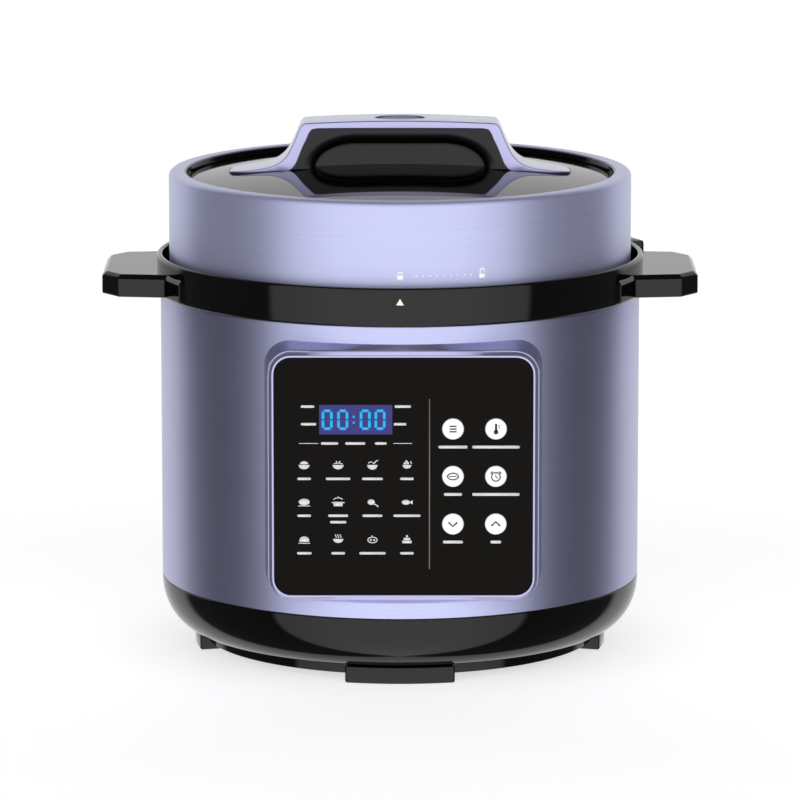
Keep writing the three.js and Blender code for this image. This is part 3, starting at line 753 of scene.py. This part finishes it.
def buttonWell():
    # oval shaft that the pressed button sinks into, through the arch and into the core
    b = button
    outline = ellipse(b["halfWidth"] + b["gap"], b["halfDepth"] + b["gap"])
    return surface("buttonShaft", stackGrid(outline, [(0, b["wellBottom"]), (0, 310)]))


def makeGrip():
    # a bar across the lid at every station, its section a rectangle with quarter circles at its corners:
    # the share runs from inner to outer line with the sine, and y out to the half depth with the cosine
    s = smoothStations(200)
    outer, inner, halfOutside, halfInside = s[:, 0:2], s[:, 2:4], s[:, 4:5], s[:, 5:6]
    thickness = np.linalg.norm(outer - inner, axis=1)[:, None]
    radius = np.minimum(grip["edge"], 0.4 * thickness)
    turns = [np.linspace(start, start + 90, 6) for start in (0, 90, 180, 270)]
    t = np.radians(np.concatenate(turns))[None, :]
    quarter = np.repeat(np.array([[1, 1], [-1, 1], [-1, -1], [1, -1]]), 6, axis=0).T[:, None, :]
    share = (quarter[1] * (thickness / 2 - radius) + radius * np.sin(t)) / thickness + 0.5
    depth = halfInside + (halfOutside - halfInside) * share
    y = quarter[0] * (depth - radius) + radius * np.cos(t)
    x, z = (inner[:, k:k + 1] + (outer[:, k:k + 1] - inner[:, k:k + 1]) * share for k in (0, 1))
    grid = np.stack([x, y, z], -1)
    ends = [np.tile(grid[k].mean(0), (1, grid.shape[1], 1)) for k in (0, -1)]
    arch = surface("gripArch", np.concatenate([ends[0], grid, ends[1]]), sharpDegrees=50)
    cutAway(arch, buttonWell())
    dress(arch, "lid", violetPaint, "violet_paint", "handle_cover")
    # button: an oval stacked in height, its top falling in rings to a dish for the finger
    b = button
    top = b["top"]
    rows = [(0.6, b["bottom"]), (0, b["bottom"] + 0.2), (0, top - 0.35), (0.25, top - 0.05), (0.8, top),
            (2.0, top - 0.25), (4.5, top - 0.65), (8.0, top - b["dish"])]
    outline = ellipse(b["halfWidth"], b["halfDepth"])
    # its darker violet is painted shade, for the shade of the handle over the dish
    dress(surface("releaseOval", stackGrid(outline, rows), sharpDegrees=60), "release_button",
          violetButtonPaintedShade, "violet_paint", "release_button")


# handle core: the black body under the arch, with a finger recess at the front and the back

core = {"base": 275.0, "points": 161, "flatHalf": 24.6, "webWide": 23.0, "webHigh": 13.6, "edgeWide": 30.5,
        "edgeHigh": 20.6, "webDepth": 8.2, "webTilt": 0.17, "roll": 6.5, "faceDepth": 18.6,
        "faceTilt": 0.105, "endX": 60.9}


def makeGripCore():
    # half outlines run over the recess from left foot to right foot. Every row is one line of the profile:
    # up the tilted web, over a quarter-ellipse roll, and along the flush face to the arch.
    c = core
    low, count = c["base"], c["points"]

    def hood(wide, high):
        # a flat top between two quarter ellipses
        t = np.radians(np.linspace(0, 90, 60))
        right = np.column_stack([c["flatHalf"] + wide * np.cos(t), low + high * np.sin(t)])
        return spacedEvenly(np.concatenate([right * [-1, 1], right[::-1]]), count)

    def row(line, depth):
        return np.column_stack([line[:, 0], -depth, line[:, 1]])

    def faceDepth(line):
        # how far forward the flush face stands at each height
        return c["faceDepth"] - (line[:, 1] - low - 1) * c["faceTilt"]

    s = smoothStations(600)
    inner = s[(s[:, 3] >= low) & (np.abs(s[:, 2]) < c["endX"])][:, 2:4]
    ends = [[[inner[k, 0], low]] for k in (0, -1)]
    rim = spacedEvenly(np.concatenate([ends[0], inner, ends[1]]) * [1.003, 1.0], count)
    web, edge = hood(c["webWide"], c["webHigh"]), hood(c["edgeWide"], c["edgeHigh"])
    rows = []
    for share in (0, 0.5, 1.0):
        rise = (web[:, 1] - low) * share
        rows.append(np.column_stack([web[:, 0], -c["webDepth"] + rise * c["webTilt"], low + rise]))
    for turn in np.radians(np.linspace(0, 90, 12)):
        # the roll is deepest where it meets the web, and level with the face at its outer line
        line = web + (edge - web) * (1 - math.cos(turn))
        rows.append(row(line, faceDepth(line) - c["roll"] * (1 - math.sin(turn))))
    for share in (0.5, 1.0):
        line = edge + (rim - edge) * share
        rows.append(row(line, faceDepth(line)))
    front = np.stack(rows)
    back = front * [1, -1, 1]
    height, size = len(rows), len(rows) * count
    faces = gridFaces(height, count, False, False) + gridFaces(height, count, False, False, size)
    # a strip from the front half's border to the back half's closes the body
    border = np.concatenate([np.arange(count), np.arange(1, height) * count + count - 1,
                             (height - 1) * count + np.arange(count - 2, -1, -1),
                             np.arange(height - 2, 0, -1) * count])
    following = np.roll(border, -1)
    faces += np.column_stack([border, following, following + size, border + size]).tolist()
    body = finishMesh("gripCore", np.concatenate([front.reshape(-1, 3), back.reshape(-1, 3)]), faces, 42)
    cutAway(body, buttonWell(), 42)
    dress(body, "lid", blackCore, "black_plastic", "handle_core")


makeChamber()
makeLock()
makeLid()
makeGrip()
makeGripCore()
print("lid and chamber made")


# control panel: the violet surround and the black fascia in it

panel = {"x": 1.85, "z": 121.7, "width": 141.5, "height": 132.0, "corner": 9.2, "front": 139.1,
         "back": 137.1, "frameZ": 122.35, "frameWidth": 152.9, "frameHeight": 144.5, "frameCorner": 15.0,
         "lip": 1.3, "gap": 0.15, "points": 360}
keys = {"rows": (148.3, 121.9, 95.3), "columns": (29.0, 52.5), "radius": 5.8, "boreRadius": 6.05,
        "top": 139.22, "edge": 0.35, "flange": 6.8, "flangeBack": 135.8, "flangeFront": 136.8}
keyPlaces = [(x, z) for z in keys["rows"] for x in keys["columns"]]


def skinDepth(x):
    # how far forward the drum's skin stands: the root of its radius squared less x squared
    return np.sqrt(np.maximum(drum["radius"] ** 2 - x ** 2, 0))


def makePanelFrame():
    # rings from inside the pocket over a bright lip, down a bevel, a ridge and a long slope to the drum,
    # and back under it. A ring lies between two outlines by a share of the way, at a depth of its own at
    # every point: shallow over the middle, where the drum is close behind, and steep at the sides.
    p = panel

    def ring(width, height, corner, zMiddle):
        outline = roundedBox(p["x"], zMiddle, width, height, corner, 16)
        return spacedEvenly(outline, p["points"], True)

    def row(line, depth):
        return np.column_stack([line[:, 0], -depth, line[:, 1]])

    def between(a, b, share):
        return a + (b - a) * share

    grow = 2 * p["gap"]
    inner = ring(p["width"] + grow, p["height"] + grow, p["corner"], p["z"])
    grow += 2 * p["lip"]
    lip = ring(p["width"] + grow, p["height"] + grow, p["corner"] + p["lip"], p["z"])
    outer = ring(p["frameWidth"], p["frameHeight"], p["frameCorner"], p["frameZ"])
    front, skin = np.full(p["points"], p["front"]), skinDepth(outer[:, 0])
    sideShare = np.clip((135.0 - skin) / 18, 0, 1)
    rows = [row(inner, front - 2.6), row(inner, front + 0.1), row(between(inner, lip, 0.15), front + 0.42),
            row(between(inner, lip, 0.85), front + 0.32), row(lip, front + 0.05)]
    for share, dropMiddle, dropSide in ((0.28, 0.35, 1.5), (0.34, 0.5, 1.75), (0.42, 0.75, 1.9),
                                        (0.5, 1.05, 2.6)):
        drop = between(dropMiddle, dropSide, sideShare)
        rows.append(row(between(lip, outer, share), np.maximum(front - drop, skin + 0.3)))
    ridge = -rows[-1][:, 1]
    for share in (0.35, 0.7):
        line = between(lip, outer, 0.5 + 0.45 * share)
        rows.append(row(line, between(ridge, skin + 0.35, share)))
    rows += [row(outer, skin + 0.1), row(outer, skin - 0.8),
             row(inner, np.minimum(skin, skinDepth(inner[:, 0])) - 0.8)]
    dress(surface("panelSurround", np.stack(rows), True, True, 22), "base", violetPaint, "violet_paint",
          "panel_frame")


def makeFascia():
    # a rounded rectangle stacked towards the front with a softened rim, then one round bore for each key
    p = panel
    outline = roundedBox(p["x"], p["z"], p["width"], p["height"], p["corner"], 14)
    rows = [(0, p["back"]), (0, p["front"] - 0.2), (0.08, p["front"] - 0.06), (0.25, p["front"])]
    plate = surface("fasciaPlate", facingFront(stackGrid(outline, rows)))
    bore = facingFront(stackGrid(ellipse(keys["boreRadius"], keys["boreRadius"], 64), [(0, 130), (0, 145)]))
    cutAway(plate, joined("keyBores", [(bore + [x, 0, z], False, True) for x, z in keyPlaces]), 12)
    dress(plate, "base", blackPanel, "gloss_black", "panel_fascia")


# tools for printed signs: a flat shape is its points in the print's plane and its faces

def onFascia(lift):
    # lays flat points on the fascia, lifted off it a little
    return lambda flat: np.column_stack([flat[:, 0], np.full(len(flat), -panel["front"] - lift),
                                         flat[:, 1]])


def onDrum(radius):
    # wraps flat points round the axis: the distance along the print over the radius is the angle
    return lambda flat: np.column_stack([radius * np.sin(flat[:, 0] / radius),
                                         -radius * np.cos(flat[:, 0] / radius), flat[:, 1]])


def stroke(points, width, closed=False):
    # a ribbon along a line: half the width to either side, square to the line
    line = np.array(points, float)
    if closed:
        tangent = np.roll(line, -1, 0) - np.roll(line, 1, 0)
    else:
        tangent = np.gradient(line, axis=0)
    tangent /= np.linalg.norm(tangent, axis=1)[:, None] + 1e-9
    side = np.column_stack([-tangent[:, 1], tangent[:, 0]]) * width / 2
    grid = np.stack([line - side, line + side])
    return grid.reshape(-1, 2), [f[::-1] for f in gridFaces(2, len(line), False, closed)]


def arcLine(cx, cy, rx, ry, start, end, count=14):
    # points of an ellipse about a middle, from one angle to another
    t = np.radians(np.linspace(start, end, count))
    return np.column_stack([cx + rx * np.cos(t), cy + ry * np.sin(t)])


def filled(outline):
    # one flat face with the given anticlockwise outline
    return np.array(outline, float), [list(range(len(outline)))]


def dot(cx, cy, r, count=20):
    return filled(arcLine(cx, cy, r, r, 0, 360 - 360 / count, count))


def bar(x, z, length, height=1.4):
    # stands where a word is printed on such panels: a plain dash with round ends
    r = height / 2
    return filled(np.concatenate([arcLine(x + length / 2 - r, z, r, r, -90, 90, 7),
                                  arcLine(x - length / 2 + r, z, r, r, 90, 270, 7)]))


def moved(shape, x, z, scale=1.0):
    return shape[0] * scale + [x, z], shape[1]


def printed(name, shapes, place, body, material, slotName, thickness=0.05):
    # flat shapes laid on a surface as ink of a little thickness
    points, faces, start = [], [], 0
    for flat, polygons in shapes:
        points.append(flat)
        faces += [[k + start for k in polygon] for polygon in polygons]
        start += len(flat)
    piece = finishMesh(name, place(np.concatenate(points)), faces, weld=False)
    ink = piece.modifiers.new("ink", "SOLIDIFY")
    ink.thickness, ink.offset = thickness * 0.001, 1.0
    return dress(piece, body, material, slotName)


def bowl(rim=3.2, depth=2.4):
    # a dish: the lower half of an ellipse under a flat brim
    brim = [[rim + 0.3, 0.25], [-rim - 0.3, 0.25]]
    return filled(np.concatenate([arcLine(0, 0, rim, depth, 180, 360, 14), brim]))


def steam(x, height=2.2):
    # one wave of a sine, standing up from the dish
    t = np.linspace(0, 1, 9)
    return stroke(np.column_stack([x + 0.35 * np.sin(t * 2 * np.pi), 0.9 + t * height]), 0.42)


# twelve generic dishes, left to right and top to bottom
dishSigns = [
    [bowl(), filled(arcLine(0, 0.7, 2.5, 1.9, 0, 180, 14))],
    [bowl(), stroke([(-2.6, 0.9), (0, 1.5), (2.6, 0.9)], 0.5), dot(-1, 2.2, 0.45), dot(1, 2.2, 0.45)],
    [bowl(3.0, 2.6), stroke([(0.6, 0.8), (2.2, 2.6), (3.4, 3.1)], 0.6),
     stroke(arcLine(-0.9, 0.8, 1.5, 1.3, 10, 170), 0.45)],
    [bowl(2.6, 2.0), dot(-1.2, 1.2, 0.75), dot(0.5, 1.3, 0.75), dot(-0.3, 2.4, 0.7), steam(2.4, 1.6)],
    [filled(arcLine(0, 0.2, 3.3, 2.0, 0, 340, 20)), stroke([(-3.6, -2.2), (3.6, -2.2)], 0.5)],
    [filled([(-2.6, -2.4), (2.6, -2.4), (2.9, 0.3), (-2.9, 0.3)]),
     stroke(arcLine(0, 1.2, 2.7, 1.5, 15, 165), 0.5), dot(0, 3.1, 0.45),
     stroke([(-3.8, -0.2), (-2.8, -0.2)], 0.6), stroke([(2.8, -0.2), (3.8, -0.2)], 0.6)],
    [filled(arcLine(-0.7, 0.1, 2.2, 1.7, 0, 340, 18)), stroke([(0.8, -0.8), (2.9, -2.1)], 0.7),
     dot(3.1, -2.3, 0.55)],
    [filled(arcLine(-0.6, 0, 2.5, 1.5, 0, 340, 18)), filled([(1.5, 0), (3.4, -1.4), (3.4, 1.4)])],
    [filled(np.concatenate([arcLine(0, -0.8, 3.0, 2.6, 0, 180, 16), [[-3.0, -1.6], [3.0, -1.6]]])),
     stroke([(-3.5, -2.4), (3.5, -2.4)], 0.45)],
    [bowl(3.0, 2.2), steam(-1.4), steam(0), steam(1.4)],
    [stroke(arcLine(0, -0.4, 2.8, 1.7, 0, 345, 20), 0.55, True), dot(-1, -0.4, 0.6), dot(1, -0.4, 0.6),
     steam(0, 1.5)],
    [filled([(-2.8, -2.4), (2.8, -2.4), (2.8, -0.7), (-2.8, -0.7)]),
     filled([(-2.0, -0.4), (2.0, -0.4), (2.0, 0.9), (-2.0, 0.9)]), dot(0, 1.9, 0.7)]]

# menu, warmth, taste, timer, down and up
keySigns = [
    [stroke([(-1.9, z), (1.9, z)], 0.7) for z in (1.5, 0, -1.5)],
    [dot(0, -1.7, 1.25), stroke([(0, -1.4), (0, 2.9)], 1.1), stroke([(1.3, 1.9), (2.2, 1.9)], 0.4),
     stroke([(1.3, 0.7), (2.2, 0.7)], 0.4)],
    [stroke(arcLine(0, 0, 3.0, 1.8, 0, 345, 24), 0.6, True), stroke([(-2.3, 0), (2.3, 0)], 0.45)],
    [stroke(arcLine(0, -0.2, 2.4, 2.4, 0, 345, 24), 0.6, True),
     stroke([(0, 1.2), (0, -0.3), (1.1, -0.9)], 0.5), stroke([(-2.9, 1.6), (-1.7, 2.7)], 0.7),
     stroke([(2.9, 1.6), (1.7, 2.7)], 0.7)],
    [stroke([(-2.4, 1.0), (0, -1.3), (2.4, 1.0)], 0.85)],
    [stroke([(-2.4, -1.0), (0, 1.3), (2.4, -1.0)], 0.85)]]


# display: window and clock figures

display = {"back": 137.4, "topTrim": 0.7, "corner": 0.6, "digits": (-39.8, -31.3, -19.0, -10.9),
           "digitZ": 153.5, "strokeWidth": 1.45, "colonX": -25.3, "colonHalf": 1.65, "colonWidth": 1.2,
           # the six straight strokes of a nought, drawn round the middle of the figure
           "nought": [[(-1.8, 4.95), (1.8, 4.95)], [(2.3, 4.4), (2.3, 0.35)], [(2.3, -0.35), (2.3, -4.4)],
                      [(1.8, -4.95), (-1.8, -4.95)], [(-2.3, -4.4), (-2.3, -0.35)],
                      [(-2.3, 0.35), (-2.3, 4.4)]]}


def makeDisplay():
    # a rounded rectangle stacked towards the front, and four noughts with a colon as glowing strokes
    d = display
    low, high = boxOf("display_window")
    high[2] -= d["topTrim"]
    middle, size = (low + high) / 2, high - low
    outline = roundedBox(middle[0], middle[2], size[0], size[2], d["corner"], 4)
    rows = [(0, d["back"]), (0, panel["front"] - 0.1), (0.1, panel["front"] + 0.02)]
    dress(surface("displayGlass", facingFront(stackGrid(outline, rows))), "base", displayBlue, "screen",
          "display_window")
    shapes = [moved(stroke(line, d["strokeWidth"]), x, d["digitZ"]) for x in d["digits"]
              for line in d["nought"]]
    shapes += [moved(stroke([(-0.55, 0), (0.55, 0)], d["colonWidth"]), d["colonX"], d["digitZ"] + rise)
               for rise in (-d["colonHalf"], d["colonHalf"])]
    printed("displayFigures", shapes, onFascia(0.05), "base", displayCyan, "screen")


# print on the fascia: signs, dashes in the place of words, and a divider

prints = {"dividerX": 16.15, "dividerEnds": (70.1, 165.0), "dividerWidth": 0.6,
          "signColumns": (-52.5, -33.9, -15.1, 3.8), "signRows": (127.7, 107.1, 86.4),
          "signRise": 0.4, "signScale": 0.92, "dashRows": (120.6, 100.0, 79.0),
          "dashLengths": (7.5, 13.5, 11.5, 7.5, 7.5, 11, 11, 15, 8, 7.5, 14.5, 7.5),
          # more dashes as (x, z, length): a second line, beside the display and under it
          "otherDashes": ((-33.9, 96.4, 9), (-50.5, 160.8, 7.5), (-50.0, 151.0, 8.5), (1.5, 160.8, 9.0),
                          (0.0, 151.0, 7.0), (-38.5, 140.3, 9.5), (-24.5, 140.3, 11.0),
                          (-10.5, 140.3, 6.5)),
          "rules": ((-55.2, -44.6), (-3.6, 6.6)), "ruleZ": 140.3, "ruleWidth": 0.35,
          "keyDashLengths": (16, 26, 10, 26, 11, 6), "keyDashDrop": 10.0, "keyDashHeight": 1.6}


def makePrints():
    p = prints
    divider = stroke([(p["dividerX"], z) for z in p["dividerEnds"]], p["dividerWidth"])
    printed("panelDivider", [divider], onFascia(0.02), "base", printGrey, "white_key")
    shapes = [stroke([(start, p["ruleZ"]), (end, p["ruleZ"])], p["ruleWidth"]) for start, end in p["rules"]]
    places = [(x, z) for z in p["signRows"] for x in p["signColumns"]]
    for sign, (x, z) in zip(dishSigns, places):
        shapes += [moved(part, x, z + p["signRise"], p["signScale"]) for part in sign]
    places = [(x, z) for z in p["dashRows"] for x in p["signColumns"]]
    shapes += [bar(x, z, length) for length, (x, z) in zip(p["dashLengths"], places)]
    shapes += [bar(*dash) for dash in p["otherDashes"]]
    printed("panelPrint", shapes, onFascia(0.02), "base", printWhite, "white_key")
    dashes = [bar(x, z - p["keyDashDrop"], length, p["keyDashHeight"])
              for (x, z), length in zip(keyPlaces, p["keyDashLengths"])]
    printed("keyLegends", dashes, onFascia(0.02), "base", printWhite, "white_key")


def makeKeys():
    # a turned cap with a flange behind the plate and a quarter circle for its rim, and a sign printed on it
    q = keys
    t = np.radians(np.linspace(0, 90, 7))
    rim = np.column_stack([q["radius"] - q["edge"] + q["edge"] * np.cos(t),
                           q["top"] - q["edge"] + q["edge"] * np.sin(t)])
    profile = np.concatenate([[[0, q["flangeBack"]], [q["flange"], q["flangeBack"]],
                               [q["flange"], q["flangeFront"]], [q["radius"], q["flangeFront"]]],
                              rim, [[0, q["top"]]]])
    for number, (sign, (x, z)) in enumerate(zip(keySigns, keyPlaces), 1):
        body = f"key_{number}"
        grid = facingFront(turnedGrid(profile, 64)) + [x, 0, z]
        # the caps glow a little: painted light that keeps them the whitest thing on the panel
        dress(surface(f"cap_{number}", grid), body, keyWhiteGlowing, "white_key", body)
        printed(f"sign_{number}", [moved(part, x, z) for part in sign], onFascia(0.14), body, printBlack,
                "gloss_black")


# lock marks: two padlocks and their dotted track on the skirt, and a pointer on the collar

lockMarks = {"height": 231.6, "openAt": 45.9, "dots": (8.9, 39.5), "dotCount": 9, "dotRadius": 0.42,
             "pointer": [(-2.1, 216.6), (2.1, 216.6), (0, 220.2)], "ink": 0.04}


def padlock(isOpen):
    # a filled body, and a half ellipse on two legs for the shackle, the right leg lifted out when it's open
    lift, rightLeg = (0.9, 1.0) if isOpen else (0.0, 0.1)
    body = filled([(-1.7, -2.3), (1.7, -2.3), (1.7, 0.2), (-1.7, 0.2)])
    arch = arcLine(0, 1.1 + lift, 1.15, 1.2, 180, 0, 10)
    return [body, stroke(np.concatenate([[(-1.15, 0.1)], arch, [(1.15, rightLeg)]]), 0.5)]


def makeLockMarks():
    m = lockMarks
    shapes = [moved(part, x, m["height"]) for x, isOpen in ((0, False), (m["openAt"], True))
              for part in padlock(isOpen)]
    shapes += [dot(x, m["height"], m["dotRadius"], 10) for x in np.linspace(*m["dots"], m["dotCount"])]
    # their white ink glows a little: painted light that keeps it white on the shaded sides of the skirt and
    # collar
    printed("lockMarks", shapes, onDrum(lid["radius"] + 0.06), "lid", printPaintedGlow, "white_key", m["ink"])
    printed("lockPointer", [filled(m["pointer"])], onDrum(collar["radius"] + 0.02), "base", printPaintedGlow,
            "white_key", m["ink"])


makePanelFrame()
makeFascia()
makeDisplay()
makePrints()
makeKeys()
makeLockMarks()
print("panel made")


# pieces that keep the shape they have in the frame, with finishes of their own

kept = {
    blackGrain: ["base_plate", "lid_base_ring", "power_inlet", "pressure_switch", "valve_weight"],
    satinSteel: ["base_screw_1", "base_screw_2", "base_screw_3", "base_screw_4", "heating_element",
                 "sensor_bracket", "sensor_spring", "vent_shield", "steam_pipe", "lid_post",
                 "release_spring", "float_valve", "inlet_pin_earth", "inlet_pin_live",
                 "inlet_pin_neutral"],
    silicone: ["float_seal"],
    whiteCeramic: ["thermal_fuse"],
    boardGreen: ["power_board", "control_board", "display_module"]}
for material, names in kept.items():
    for name in names:
        nodes[name].data.materials.clear()
        nodes[name].data.materials.append(material)
print("kept pieces finished")


# studio: pale floor, banded white room and camera. Band edges are degrees from straight in front.

studio = {"floorDark": "#f4f4f4", "floorLight": "#f7f7f7", "floorGlow": 0.65, "floorReach": 40000,
          "front": 1.3, "frontFull": 32.0, "frontRim": 0.95, "frontHalfAngle": 63.0, "side": 0.085,
          "back": 0.85, "backFrom": 127.0, "top": 0.08, "topFrom": 0.62, "topFull": 0.82,
          "backdrop": (0.92, 0.92, 0.93, 1)}
view = {"location": (0, -3.2152, 0.71819), "tilt": 79.795, "lens": 257.52, "sensor": 36.0}


def makeFloor():
    # a flat disc of rings whose radii grow by the same ratio
    rings = np.concatenate([[0], np.geomspace(500, studio["floorReach"], 12)])
    grid = turnedGrid(np.column_stack([rings, 0 * rings]), 48)
    floor = surface("studioFloor", grid)
    # matt white vinyl sheet: an even pale ground that takes only a soft shadow
    floor.data.materials.append(plain("paleStudioFloor", studio["floorDark"], studio["floorLight"], 0.8,
                                      330, **glow("#ffffff", studio["floorGlow"])))
    floor.visible_glossy = False  # the polished parts mirror the studio's own bands instead


def makeWorld():
    # a white room with dark sides: bright in front and behind, dim at both sides and overhead
    def grey(level):
        return (level, level, level, 1)

    def place(degrees):
        # where an angle from straight in front lies on the ramp, which starts straight behind
        return (180 - degrees) / 180

    s = studio
    world = bpy.data.worlds.new("studioRoom")
    bpy.context.scene.world = world
    world.use_nodes = True
    tree = world.node_tree
    background = tree.nodes["Background"]
    direction = addNode(tree, "ShaderNodeTexCoord")
    axes = addNode(tree, "ShaderNodeSeparateXYZ", links={"Vector": direction.outputs["Generated"]})
    side = addNode(tree, "ShaderNodeMath", {"operation": "ABSOLUTE"}, links={0: axes.outputs["X"]})
    away = addNode(tree, "ShaderNodeMath", {"operation": "ARCTAN2"},
                   links={0: side.outputs["Value"], 1: axes.outputs["Y"]})
    turn = addNode(tree, "ShaderNodeMath", {"operation": "DEGREES"}, links={0: away.outputs["Value"]})
    ramp = addNode(tree, "ShaderNodeMapRange", values={"From Max": 180.0},
                   links={"Value": turn.outputs["Value"]})
    bands = addNode(tree, "ShaderNodeValToRGB", links={"Fac": ramp.outputs["Result"]})
    stops = bands.color_ramp.elements
    backEdge, frontEdge = place(s["backFrom"]), place(s["frontHalfAngle"])
    stops[0].position, stops[0].color = backEdge - 0.02, grey(s["back"])
    stops[1].position, stops[1].color = backEdge + 0.02, grey(s["side"])
    for at, level in ((frontEdge - 0.008, s["side"]), (frontEdge + 0.008, s["frontRim"]),
                      (place(s["frontFull"]), s["front"])):
        stop = stops.new(at)
        stop.color = grey(level)
    over = addNode(tree, "ShaderNodeMapRange", {"interpolation_type": "SMOOTHSTEP"},
                   {"From Min": s["topFrom"], "From Max": s["topFull"]}, {"Value": axes.outputs["Z"]})
    room = addNode(tree, "ShaderNodeMix", {"data_type": "RGBA"}, {7: grey(s["top"])},
                   {0: over.outputs["Result"], 6: bands.outputs["Color"]})
    # what stands behind the object in view is the pale backdrop
    rays = addNode(tree, "ShaderNodeLightPath")
    seen = addNode(tree, "ShaderNodeMix", {"data_type": "RGBA"}, {7: s["backdrop"]},
                   {0: rays.outputs["Is Camera Ray"], 6: room.outputs[2]})
    tree.links.new(seen.outputs[2], background.inputs["Color"])
    background.inputs["Strength"].default_value = 1.0


def makeCamera():
    lens = bpy.data.cameras.new("camera")
    lens.sensor_width, lens.lens = view["sensor"], view["lens"]
    lens.clip_end = 100
    camera = bpy.data.objects.new("camera", lens)
    camera.location = view["location"]
    camera.rotation_euler = (math.radians(view["tilt"]), 0, 0)
    bpy.context.collection.objects.link(camera)
    bpy.context.scene.camera = camera


makeFloor()
makeWorld()
makeCamera()
bpy.context.scene.view_settings.view_transform = "Standard"
print("stage set")
